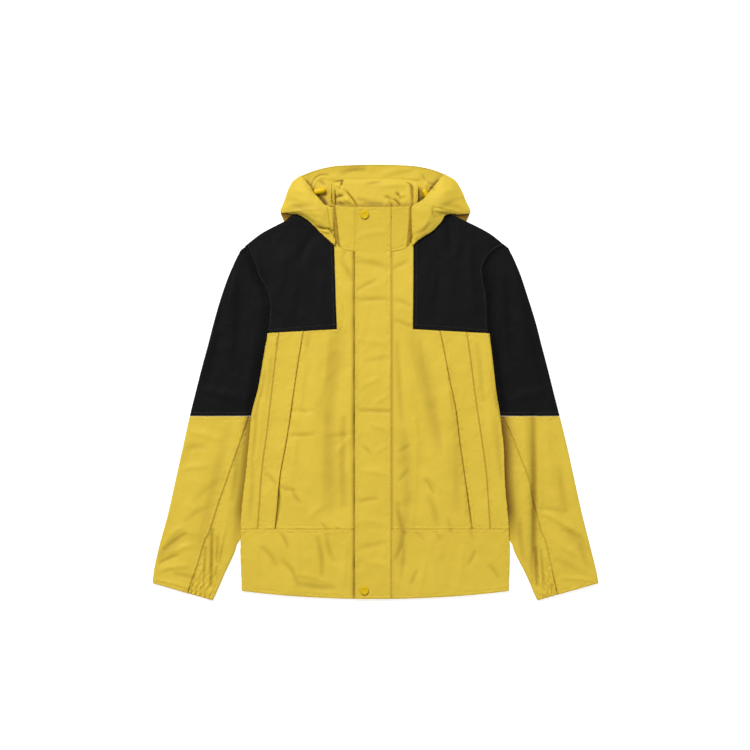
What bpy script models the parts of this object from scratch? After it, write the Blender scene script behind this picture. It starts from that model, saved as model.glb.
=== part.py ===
"""Hooded rain jacket in two colours, laid flat on its back with its front facing up.

The cloth lies in the XY plane: +X to the viewer's right, +Y from the hem to the hood, +Z out of
the front.  Tables and sizes are in millimetres; build_cloth turns them into metres.  The cloth
wall is an open surface through the outer face of each piece, thickened inwards by Solidify.
"""

import math

import bmesh
import bpy
import numpy as np

MM = 0.001

# ---------------------------------------------------------------- driving dimensions, millimetres
WALL = 1.8               # cloth wall
SEAM = 0.3               # gap between two pieces where they are sewn
EDGE_INSET = 0.25        # how far each of two curved, sewn edges stands back from their line
FRONT_TOP = 7.2          # height of the front's outer face above the surface
ROLL = FRONT_TOP / 2     # radius of a folded edge
LAYER = WALL + SEAM      # how far a piece that lies on a panel is moved out

YOKE_SEAM_Y = 99.9       # yoke seam at the centre front
YOKE_SEAM_DROP = 0.056   # how much that seam falls for each millimetre away from the centre
HEM_SEAM_Y = -264.6      # seam above the hem panel
HEM_CENTRE_Y = -389.7    # hem at the centre
HEM_LIFT = 14.4          # how much the hem rises at the sides
HALF_HEM = 240.0         # half the hem's width
ARMPIT_Y = -60.3         # underarm point, also the seam between black and yellow sleeve
SHOULDER_TIP = (238.5, 251.1)
NECK_POINT = (99.9, 317.7)
SHOULDER_BOW = 3.4       # how far the shoulder fold bows upwards
UNDERARM_TURNS = (0.0, 0.6, 0.9)   # how far the side fold has closed, from the underarm down
SHOULDER_WRAP = 8.0      # how far the front yoke comes round the shoulder fold onto the back
HEAD_SLANT = 8.0         # slant of the sleeve's last row, at the shoulder tip
HEAD_SLANT_FROM_Y = 148.0
CENTRE_SPLIT_X = -1.05   # where the two fronts meet under the storm flap

FLAP_LEFT_X = -36.9
FLAP_RIGHT_X = 27.9
SNAP_DIAMETER = 16.0
SNAP_HEIGHT = 3.0
TOGGLE_LENGTH = 20.0
TOGGLE_DIAMETER = 11.0
SNAPS = {"snap_top": (-19.8, 301.5), "snap_bottom": (-20.4, -374.0)}
TOGGLES = {"cord_toggle_l": (-100.5, 344.7), "cord_toggle_r": (91.5, 338.5)}

# Colours are linear RGB.
COLOURS = {
    "yellow_cloth": ((0.78, 0.56, 0.065), 0.75, 0.0),
    "black_cloth": ((0.010, 0.010, 0.011), 0.80, 0.0),
    "snap_enamel": ((0.70, 0.48, 0.003), 0.35, 0.0),
    "toggle_plastic": ((0.58, 0.40, 0.002), 0.40, 0.0),
}


def table(columns, rows):
    """Named columns from a short list of rows."""
    return {name: [row[i] for row in rows] for i, name in enumerate(columns.split())}


# Armhole from the shoulder tip to the underarm, then the side fold down to the hem.
SIDE = {
    "l": table("y x", [
        (251.1, -238.5), (233.1, -229.5), (211.5, -220.5), (188.1, -212.4), (171.9, -202.5),
        (152.1, -195.3), (103.5, -194.4), (76.5, -197.1), (31.5, -204.3), (-9.9, -211.5),
        (-54.9, -223.2), (-114.3, -229.5), (-153.9, -233.1), (-233.1, -242.1),
        (-285.3, -243.9), (-390.0, -241.2)]),
    "r": table("y x", [
        (256.5, 241.0), (251.1, 238.5), (236.0, 214.0), (213.3, 196.5), (189.9, 195.3),
        (166.5, 200.0), (98.1, 204.3), (38.7, 211.5), (-15.3, 217.5), (-54.9, 224.1),
        (-108.9, 231.4), (-180.9, 234.1), (-260.1, 241.0), (-285.3, 242.1), (-390.0, 240.3)]),
}

# Outer fold of the sleeve, from the shoulder tip to the cuff.
SLEEVE_FOLD = {
    "l": table("y x", [
        (251.1, -238.5), (240.3, -242.6), (218.7, -252.9), (197.1, -262.5), (153.9, -278.1),
        (110.7, -290.7), (67.5, -301.9), (24.3, -313.6), (-18.9, -324.5), (-60.3, -334.8),
        (-105.3, -344.7), (-170.1, -359.1), (-234.9, -373.5), (-299.7, -391.0),
        (-342.9, -400.0), (-360.9, -402.0)]),
    "r": table("y x", [
        (251.1, 238.5), (240.3, 241.5), (218.7, 251.1), (197.1, 260.1), (153.9, 274.5),
        (110.7, 288.0), (67.5, 299.2), (24.3, 310.5), (-18.9, 321.3), (-60.3, 331.8),
        (-105.3, 342.9), (-170.1, 357.3), (-234.9, 371.7), (-299.7, 388.0),
        (-342.9, 398.5), (-360.9, 402.0)]),
}

# Lower sleeve, one row for each level: the inner fold, the height of the outer fold, and where
# the front seam crosses, as a share of the way from the inner fold to the outer one.
LOWER_SLEEVE = {
    "l": table("inner_x inner_y outer_y seam", [
        (-224.6, -61.0, -61.0, 0.085), (-229.6, -100.0, -98.0, 0.145),
        (-232.9, -140.0, -136.0, 0.225), (-237.4, -180.0, -172.0, 0.29),
        (-242.2, -220.0, -208.0, 0.35), (-245.4, -260.0, -243.0, 0.40),
        (-252.0, -300.0, -278.0, 0.43), (-272.0, -345.0, -318.0, 0.41),
        (-292.5, -392.4, -360.9, 0.42)]),
    "r": table("inner_x inner_y outer_y seam", [
        (225.7, -61.0, -61.0, 0.085), (231.0, -100.0, -98.0, 0.19),
        (233.9, -140.0, -136.0, 0.285), (235.2, -180.0, -172.0, 0.375),
        (239.0, -220.0, -208.0, 0.39), (242.6, -260.0, -243.0, 0.42),
        (248.6, -300.0, -278.0, 0.44), (270.5, -345.0, -318.0, 0.385),
        (290.7, -392.4, -360.9, 0.34)]),
}

# Seams of the slanted pocket band, which reaches from the yoke seam to the hem panel.
POCKET_INNER = {
    "l": table("y x", [(92.0, -130.5), (27.9, -141.3), (-60.3, -153.9), (-116.1, -162.9),
                       (-164.7, -171.9), (-220.5, -177.3), (-264.6, -181.5)]),
    "r": table("y x", [(92.0, 117.0), (63.9, 123.3), (15.3, 132.3), (-44.1, 144.9),
                       (-116.1, 153.9), (-164.7, 161.1), (-213.3, 168.3), (-264.6, 175.0)]),
}
POCKET_OUTER = {
    "l": table("y x", [(92.0, -173.7), (4.5, -184.5), (-80.1, -194.2), (-164.7, -205.0),
                       (-213.3, -208.6), (-264.6, -212.4)]),
    "r": table("y x", [(92.0, 164.0), (63.9, 168.3), (-31.5, 180.9), (-92.7, 189.9),
                       (-164.7, 199.8), (-213.3, 203.4), (-264.6, 206.8)]),
}

# Inner edge of the yoke: up along the yellow front, then along the neck to the shoulder.
YOKE_INNER = {
    "l": table("y x", [(90.0, -69.3), (130.5, -71.1), (252.9, -74.7), (285.0, -86.5),
                       (317.7, -99.9)]),
    "r": table("y x", [(90.0, 67.5), (130.5, 67.9), (252.9, 68.6), (285.0, 83.5),
                       (317.7, 99.9)]),
}

# Largest folds of the two fronts: a soft ridge (height above 0) or trough between two points.
FRONT_FOLDS = table("x0 y0 x1 y1 height half_width", [
    (-67.5, 85.0, -87.3, -64.0, -1.5, 13.0), (-87.3, -64.0, -82.0, -222.0, -1.6, 14.0),
    (-104.0, 40.0, -112.0, -190.0, 1.6, 14.0), (-52.0, 10.0, -56.0, -205.0, 1.4, 11.0),
    (69.3, 80.0, 99.9, -40.5, -1.5, 13.0), (99.9, -40.5, 119.7, -123.3, -1.5, 12.0),
    (50.0, 40.0, 78.0, -120.0, 1.5, 12.0), (144.0, -100.0, 146.7, -224.0, -1.3, 11.0),
    (126.0, -20.0, 132.0, -190.0, 1.4, 11.0), (52.4, -92.7, 58.5, -211.5, -1.3, 10.0),
    (58.5, -211.5, 42.0, -317.7, -1.2, 10.0), (-140.0, -285.0, -150.0, -375.0, 1.3, 12.0),
    (100.0, -280.0, 108.0, -375.0, 1.3, 12.0), (-150.0, 255.0, -135.0, 130.0, 1.2, 22.0),
    (140.0, 262.0, 132.0, 140.0, 1.2, 22.0)])

# Largest folds of the sleeves.
SLEEVE_FOLDS = table("x0 y0 x1 y1 height half_width", [
    (283.5, -58.0, 286.0, -340.0, -1.5, 9.0), (309.0, -80.0, 330.0, -330.0, 1.5, 13.0),
    (-300.0, -70.0, -345.0, -320.0, 1.5, 14.0), (-268.0, -90.0, -318.0, -300.0, -1.2, 10.0),
    (-253.0, 190.0, -262.0, 20.0, 1.4, 15.0), (250.0, 190.0, 262.0, 20.0, 1.4, 15.0),
    (-345.0, -282.0, -388.0, -312.0, -1.2, 9.0), (345.0, -268.0, 380.0, -300.0, -1.2, 9.0)])

CUFF_GATHERS = 6         # gather waves along the elastic half of a cuff
GATHER_HEIGHT = 0.8
GATHER_ROWS = 2.0        # rows of the lower sleeve over which the gathers fade

# Collar, one row for its neck seam and one for its top edge.
COLLAR = table("level left right front_y back_y front_z back_z squareness", [
    (0.0, -74.0, 66.5, 234.4, 306.0, 7.3, 2.1, 3.0),
    (1.0, -82.0, 77.0, 315.0, 366.0, 19.0, 2.1, 5.0)])
COLLAR_SEAM = {"l": (-0.86, -0.885), "r": (0.86, 0.81)}   # at neck and top, on -1 to 1 across
NECK_CLEAR = 1.1         # gap between the curved neck edges of body and collar

# Hood side, one row for each section from the brim, round the tip, to the neck: its fold, its
# front edge, and the heights of its underside, of its front edge and of its bulge.
HOOD_SIDE = {
    "l": table("fold_x fold_y rim_x rim_y base rim_z bulge hem", [
        (-126.5, 376.0, -117.0, 367.0, 0.0, 7.5, 1.0, 6.0),
        (-138.0, 371.0, -118.5, 361.0, 0.0, 9.5, 2.5, 8.0),
        (-149.5, 362.0, -117.5, 352.0, 0.0, 12.5, 4.0, 9.0),
        (-158.0, 346.5, -110.7, 341.1, 0.0, 16.5, 6.0, 9.0),
        (-164.7, 326.7, -98.5, 326.7, 0.0, 21.0, 8.0, 9.0),
        (-171.5, 307.5, -88.5, 314.1, 1.5, 22.5, 8.0, 9.0),
        (-158.0, 304.2, -86.2, 308.0, 4.0, 22.0, 7.0, 8.0),
        (-139.5, 301.5, -85.2, 301.5, 8.0, 21.0, 6.0, 8.0),
        (-123.3, 292.5, -84.5, 294.0, 8.1, 20.0, 4.5, 8.0),
        (-110.7, 280.8, -83.2, 286.0, 8.1, 18.5, 3.5, 7.0),
        (-98.0, 268.0, -81.0, 277.0, 8.1, 16.5, 2.0, 6.0),
        (-87.5, 258.0, -78.5, 269.0, 8.1, 15.0, 1.0, 5.0)]),
    "r": table("fold_x fold_y rim_x rim_y base rim_z bulge hem", [
        (119.5, 377.8, 110.5, 368.5, 0.0, 7.5, 1.0, 6.0),
        (133.0, 371.8, 110.5, 361.5, 0.0, 10.0, 2.5, 8.0),
        (145.0, 364.0, 108.0, 354.0, 0.0, 13.0, 4.0, 9.0),
        (155.0, 347.0, 98.1, 343.8, 0.0, 18.0, 6.0, 9.0),
        (162.8, 328.0, 87.3, 331.5, 0.0, 22.5, 8.0, 9.0),
        (171.0, 307.0, 76.5, 324.0, 1.5, 24.0, 8.0, 9.0),
        (154.0, 302.6, 67.5, 317.7, 4.6, 23.4, 7.0, 8.0),
        (128.7, 302.0, 64.6, 309.0, 8.1, 22.6, 6.0, 8.0),
        (118.8, 288.9, 65.0, 297.0, 8.1, 20.8, 4.5, 8.0),
        (103.5, 272.7, 65.6, 284.0, 8.1, 18.8, 3.5, 8.0),
        (88.0, 262.5, 66.4, 271.0, 8.1, 16.6, 2.0, 6.0),
        (76.0, 254.5, 67.4, 260.0, 8.1, 14.4, 0.8, 4.5)]),
}
HOOD_FOLD_RADIUS = 3.0

# Upper edge of the hood's back, from the hem of one side round the brim to the other.
HOOD_BACK_TOP = table("x y", [
    (-150.0, 336.0), (-147.5, 343.0), (-140.0, 357.5), (-131.5, 365.5), (-121.8, 370.5),
    (-117.8, 379.4), (-99.9, 384.8), (-78.3, 389.0), (0.0, 392.4), (76.5, 389.0),
    (99.9, 384.2), (110.5, 381.2), (115.2, 371.5), (126.5, 367.0), (135.8, 359.5),
    (144.8, 344.5), (150.0, 334.0)])
BRIM_RISE_FROM_Y = 368.0
BRIM_RISE = 3.0


# ------------------------------------------------------------------------------- shape functions
def smooth(columns, key, value, at):
    """Value column of a table as a smooth curve through its rows, read at `at` in the key."""
    order = np.argsort(columns[key])
    keys = np.array(columns[key], float)[order]
    values = np.array(columns[value], float)[order]
    slopes = np.gradient(values, keys)
    at = min(max(at, keys[0]), keys[-1])
    i = int(min(max(np.searchsorted(keys, at) - 1, 0), len(keys) - 2))
    span = keys[i + 1] - keys[i]
    t = (at - keys[i]) / span
    return float((2 * t**3 - 3 * t**2 + 1) * values[i]
                 + (t**3 - 2 * t**2 + t) * span * slopes[i]
                 + (3 * t**2 - 2 * t**3) * values[i + 1]
                 + (t**3 - t**2) * span * slopes[i + 1])


def straight(columns, key, value, at):
    """Value column of a table read at `at` in the key, on straight lines between rows."""
    order = np.argsort(columns[key])
    return float(np.interp(at, np.array(columns[key], float)[order],
                           np.array(columns[value], float)[order]))


def mix(a, b, t):
    return a + (b - a) * t


def fold_height(folds, x, y):
    """Sum of the soft ridges and troughs of a fold table at a point."""
    total = 0.0
    for x0, y0, x1, y1, height, half_width in zip(*folds.values()):
        run = (x1 - x0)**2 + (y1 - y0)**2
        along = ((x - x0) * (x1 - x0) + (y - y0) * (y1 - y0)) / run
        nearest = min(max(along, 0.0), 1.0)
        away = math.hypot(x - mix(x0, x1, nearest), y - mix(y0, y1, nearest))
        total += height * math.exp(-(away / half_width)**2)
    return total


def front_height(x, y):
    return FRONT_TOP + fold_height(FRONT_FOLDS, x, y)


def side_x(side, y):
    return smooth(SIDE[side], "y", "x", y)


def hem_y(x):
    return HEM_CENTRE_Y + HEM_LIFT * (x / HALF_HEM)**2


def yoke_seam_y(x):
    return YOKE_SEAM_Y - YOKE_SEAM_DROP * abs(x)


def main_y(level, x):
    """Height on the body between the yoke seam (level 0) and the hem panel's seam (level 1)."""
    return mix(yoke_seam_y(x), HEM_SEAM_Y, level)


def lower_y(level, x):
    """Height on the body between the hem panel's seam (level 0) and the hem (level 1)."""
    return mix(HEM_SEAM_Y, hem_y(x), level)


def on_curve(x_at, y_at, start):
    """The point where a curve x_at(y) crosses a row y_at(x)."""
    y = start
    for _ in range(14):
        y = (y + y_at(x_at(y))) / 2
    return x_at(y), y


SIGN = {"l": -1.0, "r": 1.0}
YOKE_STEPS = 8
UPPER_STEPS = 4
LOWER_STEPS = 7
HEM_STEPS = 4
BACK_COLUMNS = (-120.0, -60.0, 0.0, 60.0, 120.0)
ARMPIT_LEVEL = ((yoke_seam_y(HALF_HEM * 0.81) - ARMPIT_Y)
                / (yoke_seam_y(HALF_HEM * 0.81) - HEM_SEAM_Y))
UPPER_LEVELS = [ARMPIT_LEVEL * i / UPPER_STEPS for i in range(UPPER_STEPS + 1)]
LOWER_LEVELS = [mix(ARMPIT_LEVEL, 1.0, i / LOWER_STEPS) for i in range(LOWER_STEPS + 1)]
MAIN_LEVELS = UPPER_LEVELS + LOWER_LEVELS[1:]
HEM_LEVELS = [i / HEM_STEPS for i in range(HEM_STEPS + 1)]


def shoulder_point(side, share):
    """Point on the shoulder fold, from the tip (share 0) to the neck (share 1)."""
    x = SIGN[side] * mix(SHOULDER_TIP[0], NECK_POINT[0], share)
    y = mix(SHOULDER_TIP[1], NECK_POINT[1], share) + 4 * SHOULDER_BOW * share * (1 - share)
    return x, y


def shoulder_y(x):
    share = (SHOULDER_TIP[0] - abs(x)) / (SHOULDER_TIP[0] - NECK_POINT[0])
    return shoulder_point("r", min(max(share, 0.0), 1.0))[1]


def side_edge_main(side, level):
    return on_curve(lambda y: side_x(side, y), lambda x: main_y(level, x), 0.0)


def below_shoulder(side, inward):
    """Armhole's end of a line that runs `inward` below the shoulder fold."""
    return on_curve(lambda y: side_x(side, y), lambda x: shoulder_y(x) - inward, 245.0)


def armhole_points(side):
    """The armhole's corner points from the yoke seam up to the shoulder fold."""
    foot = side_edge_main(side, 0.0)[1]
    top = below_shoulder(side, ROLL)[1]
    heights = [mix(foot, top, i / YOKE_STEPS) for i in range(YOKE_STEPS + 1)]
    return [(side_x(side, y), y) for y in heights]


def wrap_end(side, inward):
    """Point on the armhole's straight runs, `inward` below the shoulder fold."""
    points = armhole_points(side) + [(side_x(side, SHOULDER_TIP[1]), SHOULDER_TIP[1])]
    xs, ys = zip(*points)
    return on_curve(lambda y: float(np.interp(y, ys, xs)), lambda x: shoulder_y(x) - inward, 245.0)


def collar_across(level, x):
    """Share across the collar, from -1 at its left to 1 at its right, of a point at x."""
    left, right = (mix(*COLLAR[edge], level) for edge in ("left", "right"))
    return 2 * (x - left) / (right - left) - 1


def collar_point(level, across, face):
    """Point of the collar's outer face.  across runs from -1, left, to 1; face is 1 on the front
    wall and -1 on the back wall."""
    row = {name: mix(values[0], values[1], level) for name, values in COLLAR.items()}
    bend = row["squareness"]
    depth = face * max(1.0 - abs(across)**bend, 0.0)**(1.0 / bend)
    x = mix(row["left"], row["right"], (across + 1) / 2)
    y = mix(row["back_y"], row["front_y"], (depth + 1) / 2)
    z = mix(row["back_z"], row["front_z"], (depth + 1) / 2)
    return x, y, z


def neck_y(x):
    """Front neck seam of the body at x."""
    across = min(max(collar_across(0.0, x), -0.95), 0.95)
    return collar_point(0.0, across, 1.0)[1] - NECK_CLEAR


# --------------------------------------------------------------------------------- mesh building
def new_material(name):
    colour, roughness, metallic = COLOURS[name]
    material = bpy.data.materials.new(name)
    material.use_nodes = True
    shader = material.node_tree.nodes["Principled BSDF"]
    shader.inputs["Base Color"].default_value = (*colour, 1.0)
    shader.inputs["Roughness"].default_value = roughness
    shader.inputs["Metallic"].default_value = metallic
    return material


def build_cloth(name, rows, material, looks_up, column=0, keep=None):
    """Cloth piece from rows of points on its outer face.  looks_up says whether the faces of the
    given column look up; keep(i, j) leaves out the cells of a piece with a cut corner."""
    mesh = bpy.data.meshes.new(name)
    work = bmesh.new()
    grid = [[work.verts.new([value * MM for value in point]) for point in row] for row in rows]
    told = []
    for i in range(len(rows) - 1):
        for j in range(len(rows[0]) - 1):
            if keep is None or keep(i, j):
                corners = (grid[i][j], grid[i][j + 1], grid[i + 1][j + 1], grid[i + 1][j])
                face = work.faces.new(corners)
                if j == column:
                    told.append(face)
    loose = [vert for vert in work.verts if not vert.link_faces]
    bmesh.ops.delete(work, geom=loose, context="VERTS")
    work.normal_update()
    if (sum(face.normal.z for face in told) > 0) != looks_up:
        bmesh.ops.reverse_faces(work, faces=work.faces[:])
    work.to_mesh(mesh)
    work.free()
    mesh.shade_smooth()
    mesh.materials.append(material)
    piece = bpy.data.objects.new(name, mesh)
    bpy.data.collections[COLLECTION].objects.link(piece)
    thicken = piece.modifiers.new("Cloth wall", "SOLIDIFY")
    thicken.thickness = WALL * MM
    thicken.offset = -1.0
    thicken.use_even_offset = False
    return piece


def row_between(start, end, shares, height):
    """Row of points on a straight line in plan, each lifted by height(x, y)."""
    points = []
    for share in shares:
        x = mix(start[0], end[0], share)
        y = mix(start[1], end[1], share)
        points.append((x, y, height(x, y)))
    return points


def even(count):
    return [i / count for i in range(count + 1)]


def roll_steps(count):
    """Steps round a folded edge, from its upper face to its lower one: how far each stands in
    from the fold's outermost line, and its height, for a roll of radius 1."""
    angles = [math.pi / 2 - math.pi * i / count for i in range(count + 1)]
    return [(1 - math.cos(angle), 1 + math.sin(angle)) for angle in angles]


# ------------------------------------------------------------------------------ pieces: the body
def front_yokes(material):
    """Black front yokes, each rolled over the shoulder fold onto the back."""
    columns = even(8)
    for side, sign in SIGN.items():
        armhole = armhole_points(side)
        inset = -sign * EDGE_INSET
        inner_foot = on_curve(lambda y: straight(YOKE_INNER[side], "y", "x", y),
                              yoke_seam_y, 95.0)[1]
        rows = []
        for i, (x, y) in enumerate(armhole[:-1]):
            share = i / YOKE_STEPS
            inner_y = mix(inner_foot, NECK_POINT[1] - ROLL, share)
            inner_x = straight(YOKE_INNER[side], "y", "x", inner_y) + sign * EDGE_INSET
            row = row_between((x + inset, y), (inner_x, inner_y), columns, front_height)
            lift = SEAM / 2 if i == 0 else 0.0
            bow = 4 * SHOULDER_BOW * share
            rows.append([(px, py + bow * c * (1 - c) + lift, pz)
                         for (px, py, pz), c in zip(row, columns)])
        rolled = [(inward * ROLL, height * ROLL) for inward, height in roll_steps(4)]
        rolled.append((ROLL + SHOULDER_WRAP, 0.0))
        for inward, height in rolled:
            start = wrap_end(side, inward)[0] + inset
            xs = [mix(start, sign * NECK_POINT[0], c) for c in columns]
            rows.append([(x, shoulder_y(x) - inward, height) for x in xs])
        build_cloth("front_yoke_" + side, list(zip(*rows)), material, True)


def back_yoke(material):
    """Black back yoke, up to the shoulder wraps and the back neck."""
    wrap = ROLL + SHOULDER_WRAP + SEAM
    edges = {side: armhole_points(side)[:-1] for side in SIGN}
    for side in SIGN:
        edges[side].append(wrap_end(side, wrap))
    neck_x = NECK_POINT[0] - 1.0
    spread = [-1.0, -0.55, -0.1]
    rows = []
    for i in range(len(edges["l"])):
        share = i / (len(edges["l"]) - 1)
        left, right = edges["l"][i], edges["r"][i]
        row = []
        for c in spread:
            x = mix(-neck_x, left[0] + EDGE_INSET, (-c - 0.1) / 0.9)
            row.append((x, yoke_row_y(share, x, wrap), 0.0))
        for x in (-neck_x + SEAM, -50.0, 0.0, 50.0, neck_x - SEAM):
            row.append((x, mix(yoke_seam_y(x) + SEAM, NECK_POINT[1], share), 0.0))
        for c in reversed(spread):
            x = mix(neck_x, right[0] - EDGE_INSET, (-c - 0.1) / 0.9)
            row.append((x, yoke_row_y(share, x, wrap), 0.0))
        row[0] = (left[0] + EDGE_INSET, left[1] + (SEAM if i == 0 else 0.0), 0.0)
        row[-1] = (right[0] - EDGE_INSET, right[1] + (SEAM if i == 0 else 0.0), 0.0)
        rows.append(row)
    build_cloth("back_yoke", rows, material, False)


def yoke_row_y(share, x, wrap):
    return mix(yoke_seam_y(x) + SEAM, shoulder_y(x) - wrap, share)


def front_mains(material):
    """Yellow fronts: the width between pocket band and centre, and the strip beside the yoke."""
    for side, sign in SIGN.items():
        centre = CENTRE_SPLIT_X + sign * SEAM / 2
        below, beside, strip_steps = 6, 6, 6
        rows = []
        for level in reversed(MAIN_LEVELS):
            corner = on_curve(lambda y: smooth(POCKET_INNER[side], "y", "x", y),
                              lambda x: main_y(level, x), 0.0)[0] - sign * EDGE_INSET
            middle = straight(YOKE_INNER[side], "y", "x", 95.0) - sign * EDGE_INSET
            xs = [mix(corner, middle, c) for c in even(below)]
            xs += [mix(middle, centre, c) for c in even(beside)[1:]]
            lift = SEAM if level == 1.0 else 0.0
            rows.append([(x, main_y(level, x) + lift, front_height(x, main_y(level, x)))
                         for x in xs])
        for i in range(1, strip_steps + 1):
            share = i / strip_steps
            outer_y = mix(yoke_seam_y(middle), neck_y(sign * 72.0), share)
            edge = straight(YOKE_INNER[side], "y", "x", outer_y) - sign * EDGE_INSET
            xs = [edge] * below + [mix(edge, centre, c) for c in even(beside)]
            ys = [mix(yoke_seam_y(x), neck_y(x), share) for x in xs]
            rows.append([(x, y, front_height(x, y)) for x, y in zip(xs, ys)])
        wide = len(MAIN_LEVELS) - 1
        build_cloth("front_" + side, [row[::-1] for row in rows], material, True,
                    keep=lambda i, j: i < wide or j < beside)


def pocket_bands(material):
    """Slanted band of each pocket."""
    for side, sign in SIGN.items():
        rows = []
        for level in reversed(MAIN_LEVELS):
            outer = on_curve(lambda y: smooth(POCKET_OUTER[side], "y", "x", y),
                             lambda x: main_y(level, x), 0.0)[0] - sign * EDGE_INSET
            inner = on_curve(lambda y: smooth(POCKET_INNER[side], "y", "x", y),
                             lambda x: main_y(level, x), 0.0)[0] + sign * EDGE_INSET
            rows.append(main_row(level, outer, inner, 3))
        build_cloth("pocket_band_" + side, rows, material, True)


def main_row(level, start_x, end_x, count):
    """Row across the body at a level, clear of the yoke seam and of the hem panel's seam."""
    clear = {0.0: -SEAM / 2, 1.0: SEAM}.get(level, 0.0)
    points = []
    for share in even(count):
        x = mix(start_x, end_x, share)
        y = main_y(level, x) + clear
        points.append((x, y, front_height(x, y)))
    return points


def side_turn(zone, level):
    """How far the side fold has closed: not at all at the armhole, wholly from a little below."""
    below = sum(level > other - 0.001 for other in LOWER_LEVELS[1:])
    closed = zone == "hem" or below >= len(UNDERARM_TURNS)
    return 1.0 if closed else UNDERARM_TURNS[below]


def side_fold(side, zone, level, upper):
    """Quarter round at the body's side, from its edge inwards, on the front or on the back.  The
    two quarters meet half way up, with their edges upright so that the seam keeps its gap."""
    y_at = main_y if zone == "main" else lower_y
    turn = side_turn(zone, level)
    x, y = on_curve(lambda y: side_x(side, y), lambda x: y_at(level, x), -100.0)
    x -= SIGN[side] * EDGE_INSET * (1 - turn)
    round_steps = [(0.0, 1.0), (0.0, 0.8), (0.134, 0.5), (0.5, 0.134), (1.0, 0.0)]
    points = []
    for i, (inward, away) in enumerate(round_steps):
        step = mix(i / 4, inward, turn) * ROLL
        drop = away * turn * (ROLL - SEAM / 2)
        points.append((x - SIGN[side] * step, y, FRONT_TOP - drop if upper else drop))
    return points


def side_panels(material):
    """Outer part of each front, from the pocket band to the armhole and the side fold."""
    for side, sign in SIGN.items():
        rows = []
        for level in reversed(MAIN_LEVELS):
            fold = side_fold(side, "main", level, True)
            inner = on_curve(lambda y: smooth(POCKET_OUTER[side], "y", "x", y),
                             lambda x: main_y(level, x), 0.0)[0] + sign * EDGE_INSET
            clear = {0.0: -SEAM / 2, 1.0: SEAM}.get(level, 0.0)
            fold = [(x, y + clear, z) for x, y, z in fold]
            rows.append(fold[:-1] + main_row(level, fold[-1][0], inner, 2))
        build_cloth("side_panel_" + side, [row[::-1] for row in rows], material, True)


def hem_panels(material):
    """Panel along the hem of each front."""
    for side, sign in SIGN.items():
        centre = CENTRE_SPLIT_X + sign * SEAM / 2
        rows = []
        for level in reversed(HEM_LEVELS):
            points = side_fold(side, "hem", level, True)
            edge = points[-1][0]
            for share in even(8)[1:]:
                x = mix(edge, centre, share)
                y = lower_y(level, x)
                points.append((x, y, front_height(x, y)))
            rows.append(points)
        build_cloth("hem_panel_" + side, [row[::-1] for row in rows], material, True)


def back_body(material):
    """Yellow back, whose sides come half way up the side fold below the underarm."""
    levels = [("main", level) for level in MAIN_LEVELS]
    levels += [("hem", level) for level in HEM_LEVELS[1:]]
    rows = []
    for zone, level in levels:
        y_at = main_y if zone == "main" else lower_y
        left, right = (side_fold(side, zone, level, False) for side in ("l", "r"))
        row = left + [(x, y_at(level, x), 0.0) for x in BACK_COLUMNS] + right[::-1]
        clear = -SEAM / 2 if zone == "main" and level == 0.0 else 0.0
        rows.append([(x, y + clear, z) for x, y, z in row])
    build_cloth("back_body", rows, material, False, column=len(BACK_COLUMNS))


# --------------------------------------------------------------------------- pieces: the sleeves
def sleeve_height(x, y):
    return FRONT_TOP + fold_height(SLEEVE_FOLDS, x, y)


def tube_side(start, fold, from_share, top_count, roll_count, under_count, height):
    """Half of a flat tube in one row: along the upper face from from_share of the way between
    start and fold, round the fold, and back along the lower face."""
    length = math.hypot(fold[0] - start[0], fold[1] - start[1])
    roll_share = ROLL / length
    points = []
    for share in even(top_count)[:-1]:
        s = mix(from_share, 1 - roll_share, share)
        x, y = mix(start[0], fold[0], s), mix(start[1], fold[1], s)
        fade = min(1.0, (1 - s) * length / (4 * ROLL))
        points.append((x, y, mix(FRONT_TOP, height(x, y), fade)))
    for inward, up in roll_steps(roll_count):
        s = 1 - inward * roll_share
        points.append((mix(start[0], fold[0], s), mix(start[1], fold[1], s), up * ROLL))
    for share in even(under_count)[1:]:
        s = mix(1 - roll_share, from_share, share)
        points.append((mix(start[0], fold[0], s), mix(start[1], fold[1], s), 0.0))
    return points


def upper_sleeves(material):
    """Black upper sleeve: one piece from the armhole round the outer fold to the back."""
    for side, sign in SIGN.items():
        armhole = armhole_points(side)
        below, above = armhole[-2], armhole[-1]
        heads = [(mix(below[0], above[0], c), mix(below[1], above[1], c)) for c in (0.55, 0.95)]
        line = [side_edge_main(side, level) for level in reversed(UPPER_LEVELS)]
        line = line[:-1] + armhole[:-1] + heads
        rows = []
        for i, (x, y) in enumerate(line):
            drop = HEAD_SLANT * max(0.0, (y - HEAD_SLANT_FROM_Y) / 100.0)**2
            outer_y = y - drop
            if i == 0:
                y = ARMPIT_Y + SEAM
                outer_y = y
            fold = (smooth(SLEEVE_FOLD[side], "y", "x", outer_y), outer_y)
            start = (x + sign * EDGE_INSET, y)
            rows.append(tube_side(start, fold, 0.0, 5, 4, 4, sleeve_height))
        build_cloth("sleeve_upper_" + side, rows, material, True)


def cuff_height(side, share, level):
    """Extra height of the gathers on the elastic half of a cuff."""
    rows = len(LOWER_SLEEVE[side]["inner_y"]) - 1
    reach = max(0.0, 1.0 - (rows - level) / GATHER_ROWS)
    return GATHER_HEIGHT * reach * math.cos(share * 2 * math.pi * CUFF_GATHERS)


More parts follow.
